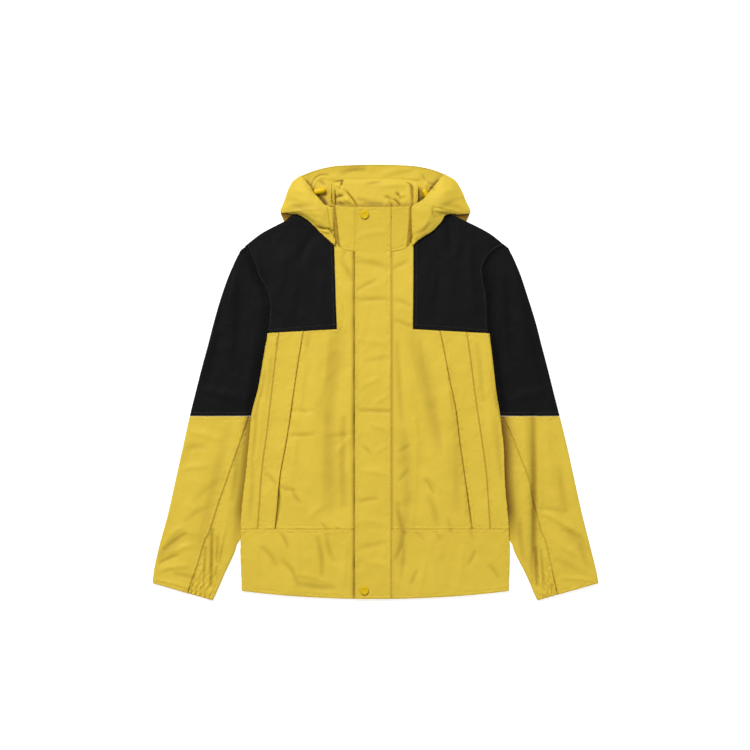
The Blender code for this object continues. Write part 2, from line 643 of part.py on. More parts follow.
def lower_sleeves(material):
    """Yellow lower sleeve: an outer and an inner piece, sewn along the front and the back."""
    for side, sign in SIGN.items():
        parts = {"sleeve_outer_": [], "sleeve_inner_": []}
        cut = LOWER_SLEEVE[side]
        for level, (inner_x, inner_y, outer_y, seam) in enumerate(zip(*cut.values())):
            inner = (inner_x, inner_y)
            outer = (smooth(SLEEVE_FOLD[side], "y", "x", outer_y), outer_y)
            length = math.hypot(outer[0] - inner[0], outer[1] - inner[1])
            gap = EDGE_INSET / length

            def gathered(x, y):
                share = math.hypot(x - inner[0], y - inner[1]) / length
                return sleeve_height(x, y) + cuff_height(side, share, level)

            parts["sleeve_outer_"].append(
                tube_side(inner, outer, seam + gap, 4, 4, 3, sleeve_height))
            parts["sleeve_inner_"].append(
                tube_side(outer, inner, 1 - seam + gap, 5, 4, 2, gathered))
        for name, rows in parts.items():
            build_cloth(name + side, rows, material, True)


# ------------------------------------------------------------ pieces: collar, storm flap and hood
COLLAR_STEPS = 4


def collar_fronts(material):
    """Front walls of the collar, which meet under the storm flap."""
    spacing = [c**1.6 for c in even(5)]
    for side, seam in COLLAR_SEAM.items():
        rows = []
        for level in even(COLLAR_STEPS):
            middle = collar_across(level, CENTRE_SPLIT_X + SIGN[side] * SEAM / 2)
            outer = mix(*seam, level)
            rows.append([collar_point(level, mix(outer, middle, c), 1.0) for c in spacing])
        build_cloth("collar_front_" + side, rows, material, True)


def collar_back(material):
    """Sides and back wall of the collar in one piece."""
    count = 22
    rows = []
    for level in even(COLLAR_STEPS):
        bend = mix(*COLLAR["squareness"], level)
        width = mix(*COLLAR["right"], level) - mix(*COLLAR["left"], level)
        gap = 2 * 2 * EDGE_INSET / width
        start = math.acos((-mix(*COLLAR_SEAM["l"], level) + gap)**(bend / 2))
        end = math.acos((mix(*COLLAR_SEAM["r"], level) + gap)**(bend / 2))
        points = []
        for share in even(count):
            angle = mix(math.pi - start, 2 * math.pi + end, share)
            across = math.copysign(abs(math.cos(angle))**(2 / bend), math.cos(angle))
            points.append(collar_point(level, across, math.copysign(1, math.sin(angle))))
        rows.append(points)
    build_cloth("collar_back", rows, material, True)


def storm_flap(material):
    """Storm flap from the collar's top edge to the hem, on the fronts' points moved out."""
    rows = []
    columns = [mix(FLAP_LEFT_X, FLAP_RIGHT_X, c) for c in even(3)]
    for level in reversed(even(COLLAR_STEPS)):
        row = []
        for x in columns:
            _, y, z = collar_point(level, collar_across(level, x), 1.0)
            row.append((x, y, z + LAYER))
        rows.append(row)
    neck = rows[-1][1][1]
    lengths = [i * (neck - HEM_SEAM_Y) / 17 for i in range(1, 18)]
    for length in lengths:
        row = []
        for x in columns:
            y = neck - length
            row.append((x, y, front_height(x, y) + LAYER))
        rows.append(row)
    for level in HEM_LEVELS[1:]:
        row = []
        for x in columns:
            y = lower_y(level, x)
            row.append((x, y, front_height(x, y) + LAYER))
        rows.append(row)
    build_cloth("storm_flap", rows, material, True)


def hood_back(material):
    """Back of the hood, laid on the surface with its inner face up, from the neck to the brim."""
    columns = []
    for x, top in zip(HOOD_BACK_TOP["x"], HOOD_BACK_TOP["y"]):
        low = shoulder_y(x) + 2 * SEAM
        column = []
        for share in even(6):
            y = mix(low, top, share)
            lift = max(0.0, (y - BRIM_RISE_FROM_Y) / (HOOD_BACK_TOP["y"][8] - BRIM_RISE_FROM_Y))
            column.append((x, y, BRIM_RISE * lift))
        columns.append(column)
    build_cloth("hood_back", columns, material, False)


def hood_sides(material):
    """Sides of the hood, folded over along the outline and lying on the shoulders."""
    for side in SIGN:
        rows = []
        for row in zip(*HOOD_SIDE[side].values()):
            rows.append(hood_section(*row))
        build_cloth("hood_side_" + side, rows, material, False)


def hood_section(fold_x, fold_y, rim_x, rim_y, base, rim_z, bulge, hem):
    """Section of a hood side: hem turned under, fold, and the face up to the front edge."""
    width = math.hypot(rim_x - fold_x, rim_y - fold_y)
    radius = HOOD_FOLD_RADIUS
    path = [(hem, base)]
    for inward, up in reversed(roll_steps(4)):
        path.append((inward * radius, base + up * radius))
    for share in even(7)[1:]:
        along = mix(radius, width, share)
        level = mix(base + 2 * radius, rim_z, share) + bulge * math.sin(math.pi * share)
        path.append((along, level))
    return [(mix(fold_x, rim_x, along / width), mix(fold_y, rim_y, along / width), z)
            for along, z in path]


# ------------------------------------------------------------------------------- pieces: hardware
def snaps(material):
    """Round snap caps on the storm flap."""
    for name, (x, y) in SNAPS.items():
        if y > COLLAR["front_y"][0]:
            rise = COLLAR["front_y"][1] - COLLAR["front_y"][0]
            level = (y - COLLAR["front_y"][0]) / rise
            seat = collar_point(level, collar_across(level, x), 1.0)[2] + LAYER
            slope = math.atan2(COLLAR["front_z"][1] - COLLAR["front_z"][0], rise)
        else:
            seat = front_height(x, y) + LAYER
            slope = 0.0
        cap = turned_cap(name, SNAP_DIAMETER / 2, SNAP_HEIGHT)
        cap.location = [value * MM for value in (x, y, seat + 2 * SEAM)]
        cap.rotation_euler = (slope, 0.0, 0.0)
        cap.data.materials.append(material)


def turned_cap(name, radius, height):
    """Cap turned about Z: a low dome with a shallow dish."""
    profile = [(0.0, height * 0.72), (0.45, height * 0.72), (0.62, height), (0.82, height),
               (0.95, height * 0.7), (1.0, height * 0.3), (0.96, 0.0), (0.0, 0.0)]
    mesh = bpy.data.meshes.new(name)
    work = bmesh.new()
    verts = [work.verts.new((r * radius * MM, 0.0, z * MM)) for r, z in profile]
    edges = [work.edges.new(pair) for pair in zip(verts, verts[1:])]
    bmesh.ops.spin(work, geom=verts + edges, cent=(0, 0, 0), axis=(0, 0, 1),
                   angle=2 * math.pi, steps=20, use_merge=True)
    bmesh.ops.remove_doubles(work, verts=work.verts[:], dist=0.00001)
    bmesh.ops.recalc_face_normals(work, faces=work.faces[:])
    work.to_mesh(mesh)
    work.free()
    mesh.shade_smooth()
    cap = bpy.data.objects.new(name, mesh)
    bpy.data.collections[COLLECTION].objects.link(cap)
    return cap


def toggles(material):
    """Barrel-shaped cord stoppers inside the hood's front edge."""
    for name, (x, y) in TOGGLES.items():
        work = bmesh.new()
        bmesh.ops.create_uvsphere(work, u_segments=14, v_segments=8, radius=0.5)
        for vert in work.verts:
            bulk = 1.0 / max(abs(vert.co.z) * 2, 0.62)
            vert.co.x *= TOGGLE_DIAMETER * MM
            vert.co.y *= TOGGLE_DIAMETER * MM
            vert.co.z *= TOGGLE_LENGTH * MM * min(bulk, 1.0)
        mesh = bpy.data.meshes.new(name)
        work.to_mesh(mesh)
        work.free()
        mesh.shade_smooth()
        mesh.materials.append(material)
        toggle = bpy.data.objects.new(name, mesh)
        bpy.data.collections[COLLECTION].objects.link(toggle)
        toggle.rotation_euler = (0.0, math.pi / 2, math.radians(12.0 if x < 0 else -60.0))
        toggle.location = [value * MM for value in (x, y, LAYER + TOGGLE_DIAMETER / 2)]


# ------------------------------------------------------------------------------------------- main
COLLECTION = "hooded_rain_jacket"


def main():
    for thing in list(bpy.data.objects):
        bpy.data.objects.remove(thing, do_unlink=True)
    collection = bpy.data.collections.new(COLLECTION)
    bpy.context.scene.collection.children.link(collection)
    yellow = new_material("yellow_cloth")
    black = new_material("black_cloth")
    enamel = new_material("snap_enamel")
    plastic = new_material("toggle_plastic")

    back_body(yellow)
    back_yoke(black)
    front_yokes(black)
    front_mains(yellow)
    pocket_bands(yellow)
    side_panels(yellow)
    hem_panels(yellow)
    upper_sleeves(black)
    lower_sleeves(yellow)
    collar_fronts(yellow)
    collar_back(yellow)
    storm_flap(yellow)
    hood_back(yellow)
    hood_sides(yellow)
    snaps(enamel)
    toggles(plastic)


main()
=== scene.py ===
"""Looks of a hooded rain jacket in two colours, laid flat on its back with its front up.

Each cloth piece is a fine, thin shell on the form of its solid, with soft creases, hollows along
its seams and rows of stitches.  Tables and sizes are in millimetres in the solids' own frame:
+X to the viewer's right, +Y from the hem to the hood, +Z up out of the front.
"""

import math

import bmesh
import bpy
import numpy as np
from mathutils import Matrix, Vector, noise
from mathutils.kdtree import KDTree


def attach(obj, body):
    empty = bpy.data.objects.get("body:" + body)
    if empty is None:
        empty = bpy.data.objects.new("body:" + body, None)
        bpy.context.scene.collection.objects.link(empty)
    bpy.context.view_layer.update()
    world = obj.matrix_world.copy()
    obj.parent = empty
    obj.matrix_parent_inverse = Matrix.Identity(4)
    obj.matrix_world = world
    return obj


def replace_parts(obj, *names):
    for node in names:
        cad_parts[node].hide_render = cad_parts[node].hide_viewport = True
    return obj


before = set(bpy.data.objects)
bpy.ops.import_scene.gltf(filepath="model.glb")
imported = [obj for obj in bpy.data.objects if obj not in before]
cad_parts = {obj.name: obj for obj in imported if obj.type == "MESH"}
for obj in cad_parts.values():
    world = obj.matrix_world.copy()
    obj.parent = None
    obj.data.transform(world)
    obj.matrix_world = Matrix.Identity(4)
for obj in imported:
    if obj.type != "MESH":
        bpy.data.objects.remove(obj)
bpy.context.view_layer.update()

MM = 0.001

# ---------------------------------------------------- driving dimensions, as in the solids
WALL = 1.8               # cloth wall
SEAM = 0.3               # gap between two pieces where they are sewn
EDGE_INSET = 0.25        # how far each of two curved, sewn edges stands back from their line
FRONT_TOP = 7.2          # height of the front's outer face above the surface
ROLL = FRONT_TOP / 2     # radius of a folded edge
LAYER = WALL + SEAM      # how far a piece that lies on a panel is moved out

YOKE_SEAM_Y = 99.9       # yoke seam at the centre front
YOKE_SEAM_DROP = 0.056   # how much that seam falls for each millimetre away from the centre
HEM_SEAM_Y = -264.6      # seam above the hem panel
HEM_CENTRE_Y = -389.7    # hem at the centre
HEM_LIFT = 14.4          # how much the hem rises at the sides
HALF_HEM = 240.0         # half the hem's width
YOKE_FOOT_Y = 95.0       # height at which the yoke's inner edge starts
ARMPIT_Y = -60.3         # underarm point, also the seam between black and yellow sleeve
SHOULDER_TIP = (238.5, 251.1)
NECK_POINT = (99.9, 317.7)
SHOULDER_BOW = 3.4       # how far the shoulder fold bows upwards
UNDERARM_TURNS = (0.0, 0.6, 0.9)   # how far the side fold has closed, from the underarm down
SHOULDER_WRAP = 8.0      # how far the front yoke comes round the shoulder fold onto the back
HEAD_SLANT = 8.0         # slant of the sleeve's last row, at the shoulder tip
HEAD_SLANT_FROM_Y = 148.0
CENTRE_SPLIT_X = -1.05   # where the two fronts meet under the storm flap

FLAP_LEFT_X = -36.9
FLAP_RIGHT_X = 27.9
SNAP_DIAMETER = 16.0
SNAP_HEIGHT = 3.0
TOGGLE_LENGTH = 20.0
TOGGLE_DIAMETER = 11.0
SNAPS = {"snap_top": (-19.8, 301.5), "snap_bottom": (-20.4, -374.0)}
TOGGLES = {"cord_toggle_l": (-100.5, 344.7), "cord_toggle_r": (91.5, 338.5)}
SIGN = {"l": -1.0, "r": 1.0}


def table(columns, rows):
    """Named columns from a short list of rows."""
    return {name: [row[i] for row in rows] for i, name in enumerate(columns.split())}


# Armhole from the shoulder tip to the underarm, then the side fold down to the hem.
SIDE = {
    "l": table("y x", [
        (251.1, -238.5), (233.1, -229.5), (211.5, -220.5), (188.1, -212.4), (171.9, -202.5),
        (152.1, -195.3), (103.5, -194.4), (76.5, -197.1), (31.5, -204.3), (-9.9, -211.5),
        (-54.9, -223.2), (-114.3, -229.5), (-153.9, -233.1), (-233.1, -242.1),
        (-285.3, -243.9), (-390.0, -241.2)]),
    "r": table("y x", [
        (256.5, 241.0), (251.1, 238.5), (236.0, 214.0), (213.3, 196.5), (189.9, 195.3),
        (166.5, 200.0), (98.1, 204.3), (38.7, 211.5), (-15.3, 217.5), (-54.9, 224.1),
        (-108.9, 231.4), (-180.9, 234.1), (-260.1, 241.0), (-285.3, 242.1), (-390.0, 240.3)]),
}

# Outer fold of the sleeve, from the shoulder tip to the cuff.
SLEEVE_FOLD = {
    "l": table("y x", [
        (251.1, -238.5), (240.3, -242.6), (218.7, -252.9), (197.1, -262.5), (153.9, -278.1),
        (110.7, -290.7), (67.5, -301.9), (24.3, -313.6), (-18.9, -324.5), (-60.3, -334.8),
        (-105.3, -344.7), (-170.1, -359.1), (-234.9, -373.5), (-299.7, -391.0),
        (-342.9, -400.0), (-360.9, -402.0)]),
    "r": table("y x", [
        (251.1, 238.5), (240.3, 241.5), (218.7, 251.1), (197.1, 260.1), (153.9, 274.5),
        (110.7, 288.0), (67.5, 299.2), (24.3, 310.5), (-18.9, 321.3), (-60.3, 331.8),
        (-105.3, 342.9), (-170.1, 357.3), (-234.9, 371.7), (-299.7, 388.0),
        (-342.9, 398.5), (-360.9, 402.0)]),
}

# Lower sleeve, one row for each level: the inner fold, the height of the outer fold, and where
# the front seam crosses, as a share of the way from the inner fold to the outer one.
LOWER_SLEEVE = {
    "l": table("inner_x inner_y outer_y seam", [
        (-224.6, -61.0, -61.0, 0.085), (-229.6, -100.0, -98.0, 0.145),
        (-232.9, -140.0, -136.0, 0.225), (-237.4, -180.0, -172.0, 0.29),
        (-242.2, -220.0, -208.0, 0.35), (-245.4, -260.0, -243.0, 0.40),
        (-252.0, -300.0, -278.0, 0.43), (-272.0, -345.0, -318.0, 0.41),
        (-292.5, -392.4, -360.9, 0.42)]),
    "r": table("inner_x inner_y outer_y seam", [
        (225.7, -61.0, -61.0, 0.085), (231.0, -100.0, -98.0, 0.19),
        (233.9, -140.0, -136.0, 0.285), (235.2, -180.0, -172.0, 0.375),
        (239.0, -220.0, -208.0, 0.39), (242.6, -260.0, -243.0, 0.42),
        (248.6, -300.0, -278.0, 0.44), (270.5, -345.0, -318.0, 0.385),
        (290.7, -392.4, -360.9, 0.34)]),
}

# Seams of the slanted pocket band, which reaches from the yoke seam to the hem panel.
POCKET_INNER = {
    "l": table("y x", [(92.0, -130.5), (27.9, -141.3), (-60.3, -153.9), (-116.1, -162.9),
                       (-164.7, -171.9), (-220.5, -177.3), (-264.6, -181.5)]),
    "r": table("y x", [(92.0, 117.0), (63.9, 123.3), (15.3, 132.3), (-44.1, 144.9),
                       (-116.1, 153.9), (-164.7, 161.1), (-213.3, 168.3), (-264.6, 175.0)]),
}
POCKET_OUTER = {
    "l": table("y x", [(92.0, -173.7), (4.5, -184.5), (-80.1, -194.2), (-164.7, -205.0),
                       (-213.3, -208.6), (-264.6, -212.4)]),
    "r": table("y x", [(92.0, 164.0), (63.9, 168.3), (-31.5, 180.9), (-92.7, 189.9),
                       (-164.7, 199.8), (-213.3, 203.4), (-264.6, 206.8)]),
}

# Inner edge of the yoke: up along the yellow front, then along the neck to the shoulder.
YOKE_INNER = {
    "l": table("y x", [(90.0, -69.3), (130.5, -71.1), (252.9, -74.7), (285.0, -86.5),
                       (317.7, -99.9)]),
    "r": table("y x", [(90.0, 67.5), (130.5, 67.9), (252.9, 68.6), (285.0, 83.5),
                       (317.7, 99.9)]),
}

# Largest folds of the two fronts: a soft ridge (height above 0) or trough between two points.
FRONT_FOLDS = table("x0 y0 x1 y1 height half_width", [
    (-67.5, 85.0, -87.3, -64.0, -1.5, 13.0), (-87.3, -64.0, -82.0, -222.0, -1.6, 14.0),
    (-104.0, 40.0, -112.0, -190.0, 1.6, 14.0), (-52.0, 10.0, -56.0, -205.0, 1.4, 11.0),
    (69.3, 80.0, 99.9, -40.5, -1.5, 13.0), (99.9, -40.5, 119.7, -123.3, -1.5, 12.0),
    (50.0, 40.0, 78.0, -120.0, 1.5, 12.0), (144.0, -100.0, 146.7, -224.0, -1.3, 11.0),
    (126.0, -20.0, 132.0, -190.0, 1.4, 11.0), (52.4, -92.7, 58.5, -211.5, -1.3, 10.0),
    (58.5, -211.5, 42.0, -317.7, -1.2, 10.0), (-140.0, -285.0, -150.0, -375.0, 1.3, 12.0),
    (100.0, -280.0, 108.0, -375.0, 1.3, 12.0), (-150.0, 255.0, -135.0, 130.0, 1.2, 22.0),
    (140.0, 262.0, 132.0, 140.0, 1.2, 22.0)])

# Largest folds of the sleeves.
SLEEVE_FOLDS = table("x0 y0 x1 y1 height half_width", [
    (283.5, -58.0, 286.0, -340.0, -1.5, 9.0), (309.0, -80.0, 330.0, -330.0, 1.5, 13.0),
    (-300.0, -70.0, -345.0, -320.0, 1.5, 14.0), (-268.0, -90.0, -318.0, -300.0, -1.2, 10.0),
    (-253.0, 190.0, -262.0, 20.0, 1.4, 15.0), (250.0, 190.0, 262.0, 20.0, 1.4, 15.0),
    (-345.0, -282.0, -388.0, -312.0, -1.2, 9.0), (345.0, -268.0, 380.0, -300.0, -1.2, 9.0)])

# Collar, one row for its neck seam and one for its top edge.
COLLAR = table("level left right front_y back_y front_z back_z squareness", [
    (0.0, -74.0, 66.5, 234.4, 306.0, 7.3, 2.1, 3.0),
    (1.0, -82.0, 77.0, 315.0, 366.0, 19.0, 2.1, 5.0)])
COLLAR_SEAM = {"l": (-0.86, -0.885), "r": (0.86, 0.81)}   # at neck and top, on -1 to 1 across
NECK_CLEAR = 1.1         # gap between the curved neck edges of body and collar

# Hood side, one row for each section from the brim, round the tip, to the neck: its fold, its
# front edge, the heights of its underside, of its front edge and of its bulge, and the width of
# its turned-under hem.
HOOD_SIDE = {
    "l": table("fold_x fold_y rim_x rim_y base rim_z bulge hem", [
        (-133.5, 374.0, -129.5, 368.5, 1.5, 7.5, 0.5, 4.0),
        (-141.5, 369.0, -124.5, 360.5, 0.6, 9.5, 2.0, 8.0),
        (-149.5, 362.0, -117.5, 352.0, 0.0, 12.5, 4.0, 9.0),
        (-158.0, 346.5, -110.7, 341.1, 0.0, 16.5, 6.0, 9.0),
        (-164.7, 326.7, -98.5, 326.7, 0.0, 21.0, 8.0, 9.0),
        (-171.5, 307.5, -88.5, 314.1, 1.5, 22.5, 8.0, 9.0),
        (-158.0, 304.2, -86.2, 308.0, 4.0, 22.0, 7.0, 8.0),
        (-139.5, 301.5, -85.2, 301.5, 8.0, 21.0, 6.0, 8.0),
        (-123.3, 292.5, -84.5, 294.0, 8.1, 20.0, 4.5, 8.0),
        (-110.7, 280.8, -83.2, 286.0, 8.1, 18.5, 3.5, 7.0),
        (-98.0, 268.0, -81.0, 277.0, 8.1, 16.5, 2.0, 6.0),
        (-87.5, 258.0, -78.5, 269.0, 8.1, 14.0, 1.0, 5.0),
        (-74.0, 246.0, -71.5, 252.0, 7.2, 10.6, 0.2, 3.5)]),
    "r": table("fold_x fold_y rim_x rim_y base rim_z bulge hem", [
        (124.0, 376.0, 118.5, 369.5, 1.5, 7.5, 0.5, 4.0),
        (134.5, 370.4, 112.0, 361.5, 0.6, 10.0, 2.0, 8.0),
        (145.0, 363.0, 105.5, 353.5, 0.0, 13.0, 4.0, 9.0),
        (155.0, 347.0, 98.1, 343.8, 0.0, 18.0, 6.0, 9.0),
        (162.8, 328.0, 89.0, 332.0, 0.0, 22.5, 8.0, 9.0),
        (171.0, 307.0, 77.0, 323.0, 1.5, 24.0, 8.0, 9.0),
        (154.0, 302.6, 67.5, 317.7, 4.6, 23.4, 7.0, 8.0),
        (128.7, 302.0, 64.6, 309.0, 8.1, 22.6, 6.0, 8.0),
        (118.8, 288.9, 65.0, 297.0, 8.1, 20.8, 4.5, 8.0),
        (103.5, 272.7, 65.6, 284.0, 8.1, 18.8, 3.5, 8.0),
        (88.0, 262.5, 66.4, 271.0, 8.1, 16.6, 2.0, 6.0),
        (76.0, 254.5, 67.4, 260.0, 8.1, 13.4, 0.8, 4.5),
        (67.5, 245.5, 64.5, 250.0, 7.2, 10.4, 0.2, 3.2)]),
}
HOOD_FOLD_RADIUS = 3.0
HOOD_ROLL_STEPS = 8      # steps round that fold

# Hood tip's underside, from its outer end inwards: its edge under the fold, and its free edge.
HOOD_TIP = {
    "l": table("x y z free_x free_y free_z", [
        (-171.0, 307.0, 4.5, -170.0, 301.0, 1.8), (-163.0, 306.0, 5.0, -164.5, 289.5, 1.5),
        (-150.0, 305.0, 6.0, -146.0, 286.0, 2.0)]),
    "r": table("x y z free_x free_y free_z", [
        (170.0, 306.5, 4.5, 168.0, 298.5, 1.8), (160.0, 305.0, 5.0, 162.0, 287.0, 1.5),
        (143.0, 303.0, 6.0, 146.0, 293.0, 2.5)]),
}

# Upper edge of the hood's back, from the hem of one side round the brim to the other.
HOOD_BACK_TOP = table("x y", [
    (-152.0, 352.0), (-149.0, 360.0), (-143.0, 367.0), (-128.7, 374.6), (-108.9, 382.0),
    (-78.3, 389.0), (-40.0, 391.6), (0.0, 392.4), (40.0, 391.6), (76.5, 389.0),
    (107.1, 382.0), (125.1, 374.8), (139.5, 367.0), (146.0, 360.0), (150.0, 352.0)])
BRIM_RISE_FROM_Y = 368.0
BRIM_RISE = 3.0          # how far the brim lifts off the surface
WALL_STEP = 1.7          # rise of the hood's back beyond the top edge of the collar's back wall


# ------------------------------------------------------------------ creases added to the solids
CREASE = "x0 y0 x1 y1 bow height half_width"

# Fronts and yokes: a crease runs from (x0, y0) to (x1, y1), bowed sideways by bow.
FRONT_CREASES = table(CREASE, [
    # viewer's left front
    (-152, -96, -112, -94, 0, -0.7, 3.5), (-84, -98, -37, -94, 1, -0.5, 4.0),
    (-148, -51, -112, -53, 0, -0.6, 3.5), (-197, -165, -179, -183, 1, -0.8, 3.0),
    (-170, -188, -148, -194, -2, -0.8, 3.0), (-148, -194, -134, -217, -3, -0.9, 3.0),
    (-136, -204, -129, -226, 1, 0.7, 3.5), (-60, 141, -62, 94, 3, -0.7, 2.5),
    (-55, 138, -57, 91, -2, 0.6, 2.5), (-86, 76, -100, -32, 3, 0.9, 7.0),
    (-104, 68, -118, -86, 2, 0.8, 9.0), (-42, 68, -51, -158, 2, 0.8, 6.0),
    (-55, -68, -58, -220, -2, -0.9, 7.0), (-127, 58, -140, -68, 2, 0.7, 5.0),
    (-143, -104, -152, -176, 0, 0.7, 5.0), (-71, -130, -50, -100, 2, 0.6, 4.0),
    (-122, -248, -93, -220, 2, 0.6, 5.0), (-96, -255, -86, -266, 0, -0.8, 2.5),
    (-73, -253, -62, -264, 0, 0.6, 3.0), (-204, -32, -215, -140, 1, 0.7, 4.0),
    (-186, 68, -194, -32, 1, -0.5, 4.0), (-220, -158, -226, -248, 1, -0.6, 4.0),
    # its hem panel
    (-170, -273, -158, -298, 2, -0.9, 3.0), (-104, -280, -96, -348, 3, -1.0, 4.0),
    (-87, -274, -76, -320, -3, -0.8, 4.0), (-204, -298, -179, -330, 3, -0.7, 4.0),
    (-166, -323, -140, -363, 4, -0.8, 4.0), (-136, -364, -75, -370, -2, -0.8, 5.0),
    (-125, -292, -116, -338, -2, 0.7, 5.0), (-55, -292, -58, -364, 1, 0.8, 4.0),
    (-217, -284, -212, -364, 1, 0.6, 4.0), (-143, -346, -96, -356, 3, 0.6, 4.0),
    (-199, 24, -219, -66, 2, -0.8, 3.5), (-176, 92, -190, 46, 1, 0.5, 3.0),
    (-214, -60, -222, -150, 1, -0.7, 4.0), (-118, 86, -132, 30, 1, -0.5, 4.0),
    # viewer's right front
    (206, 24, 224, -60, -2, -1.0, 3.5), (198, 60, 212, -20, -1, 0.6, 4.0),
    (218, -64, 226, -170, -1, -0.7, 4.0), (190, -60, 205, -150, -1, 0.5, 4.0),
    (91, -176, 105, -199, 1, -1.0, 2.5), (100, -172, 116, -194, 1, 0.7, 3.0),
    (40, -220, 51, -271, -2, -1.0, 4.0), (58, -158, 42, -176, 1, -0.7, 3.0),
    (44, -125, 62, -114, 1, -0.6, 3.0), (76, 71, 94, -17, -2, 0.9, 5.0),
    (129, 40, 138, -76, -2, 0.9, 6.0), (116, -68, 132, -158, -2, 0.8, 6.0),
    (71, -68, 66, -248, 3, 0.8, 6.0), (40, 68, 48, -68, -1, -0.7, 4.0),
    (98, -212, 111, -255, 2, -0.7, 5.0), (156, -194, 159, -256, 1, 0.6, 4.0),
    (201, 4, 208, -104, 1, 0.7, 4.0), (184, 68, 195, -32, 0, -0.5, 4.0),
    # its hem panel
    (51, -271, 37, -318, 2, -0.9, 3.5), (51, -294, 46, -350, 2, -0.8, 3.5),
    (73, -341, 64, -363, 1, -0.9, 3.0), (87, -320, 80, -374, 2, 0.7, 4.0),
    (179, -305, 168, -327, 1, -0.8, 3.0), (204, -330, 220, -350, 2, -0.8, 3.5),
    (116, -292, 127, -364, -3, 0.7, 5.0), (156, -298, 148, -370, 2, 0.6, 5.0),
    (132, -248, 138, -274, 0, -0.7, 3.0), (170, -262, 177, -284, 0, -0.6, 2.5),
    (75, -271, 87, -284, 0, -0.6, 2.5), (109, -271, 118, -285, 0, -0.6, 2.5),
    # chest beside the flap
    (35, 206, 58, 217, 1, -0.7, 4.0), (39, 148, 62, 138, 1, -0.6, 4.0),
    (-60, 217, -42, 184, 1, -0.8, 5.0), (-64, 176, -46, 148, 2, 0.6, 5.0),
    (37, 112, 66, 98, 1, -0.6, 4.0), (-51, 242, -60, 224, 0, -0.6, 3.0),
    # yokes
    (-136, 219, -102, 274, 3, -1.1, 8.0), (-165, 238, -179, 148, 3, 0.8, 9.0),
    (-136, 166, -143, 104, 0, -0.6, 8.0), (-96, 184, -100, 104, 0, 0.5, 7.0),
    (129, 300, 138, 238, 2, -1.4, 8.0), (170, 238, 177, 130, -2, 0.8, 9.0),
    (116, 217, 109, 112, 1, -0.5, 8.0), (-217, 238, -204, 166, 2, 0.8, 5.0)])

FLAP_CREASES = table(CREASE, [
    (-28, -51, 26, -52, 0, -0.9, 3.0), (-30, 147, 22, 150, 1, -0.8, 3.5),
    (-32, 166, -1, 183, 1, -0.8, 3.0), (-28, -215, 1, -210, 1, -0.8, 3.0),
    (-22, -116, -8, -130, 1, -0.7, 2.5), (1, -127, 19, -114, 1, 0.6, 3.0),
    (-28, 76, 19, 71, 1, 0.4, 6.0), (-24, -6, 8, 8, 1, 0.6, 4.0),
    (-3, -39, 22, -24, 1, 0.6, 3.0), (-24, -158, 22, -165, 1, 0.5, 5.0),
    (-28, -248, 22, -255, 1, 0.5, 6.0), (-24, -298, 15, -289, 1, -0.5, 4.0),
    (-17, -323, 22, -330, 1, 0.5, 5.0), (-32, 217, 22, 206, 2, -0.6, 5.0),
    (-28, 264, 19, 271, 1, 0.5, 5.0), (-17, 37, 22, 44, 1, -0.5, 4.0),
    (-6, -76, 22, -87, 1, 0.6, 4.0)])

SLEEVE_CREASES = table(CREASE, [
    # viewer's left lower sleeve
    (-338, -118, -310, -116, 1, -0.5, 6.0), (-330, -89, -287, -100, 2, 0.7, 7.0),
    (-352, -158, -307, -150, 2, 0.6, 6.0), (-323, -212, -276, -176, 3, -0.4, 6.0),
    (-379, -300, -341, -273, 2, -0.9, 3.6), (-382, -289, -352, -262, 2, 0.6, 5.0),
    (-388, -325, -357, -312, 1, -1.0, 3.0), (-392, -338, -341, -330, 2, 0.8, 5.0),
    (-370, -307, -330, -292, 2, 0.8, 5.0), (-341, -248, -302, -226, 2, -0.4, 5.0),
    (-361, -346, -320, -356, 1, -0.7, 4.0), (-392, -356, -334, -370, 1, 0.6, 3.0),
    (-294, -266, -296, -366, 0, -1.7, 2.6), (-284, -280, -287, -352, 0, -1.2, 2.4),
    (-276, -273, -282, -320, 0, 0.9, 2.4), (-305, -298, -310, -374, 0, -1.0, 2.2),
    (-269, -256, -291, -346, 1, 0.8, 3.0), (-262, -158, -269, -248, 2, 0.7, 6.0),
    (-248, -122, -258, -212, 2, -0.9, 5.0),
    # viewer's right lower sleeve
    (267, -68, 274, -158, -1, 0.9, 6.0), (307, -86, 318, -176, -2, 0.8, 7.0),
    (332, -158, 343, -230, -1, -0.7, 6.0), (307, -237, 363, -271, 2, 0.9, 5.0),
    (284, -58, 285, -362, 1, -1.6, 4.2), (293, -60, 295, -260, 1, 0.7, 5.0),
    (298, -228, 343, -233, 1, -0.4, 4.0), (336, -266, 372, -282, 3, -0.6, 5.0),
    (368, -294, 384, -332, -1, -0.6, 5.0), (332, -292, 361, -312, 1, 0.7, 5.0),
    (323, -320, 377, -346, 2, -0.4, 6.0), (336, -352, 386, -356, 1, 0.6, 4.0),
    (289, -298, 292, -366, 0, -1.4, 2.4), (298, -305, 305, -370, 0, -1.1, 2.4),
    (305, -312, 316, -363, 0, 0.9, 2.2), (285, -310, 285, -381, 0, 0.9, 2.2),
    (310, -330, 318, -374, 0, -1.0, 2.2), (260, -248, 267, -320, -2, -0.8, 5.0),
    (251, -158, 256, -248, -2, 0.8, 5.0),
    # black upper sleeves
    (-258, 220, -273, 94, 3, 1.0, 9.0), (-276, 148, -305, -17, 3, -0.8, 9.0),
    (-244, 176, -256, 22, 2, -0.9, 7.0), (-217, 94, -233, -32, 1, 0.9, 5.0),
    (-307, -14, -251, -28, 2, 0.6, 8.0), (256, 217, 273, 94, -3, 1.0, 9.0),
    (278, 148, 307, -17, -3, -0.8, 9.0), (238, 184, 249, 40, -2, -0.9, 7.0),
    (220, 94, 233, -32, -1, 0.9, 5.0), (253, -28, 310, -14, 2, 0.6, 8.0)])

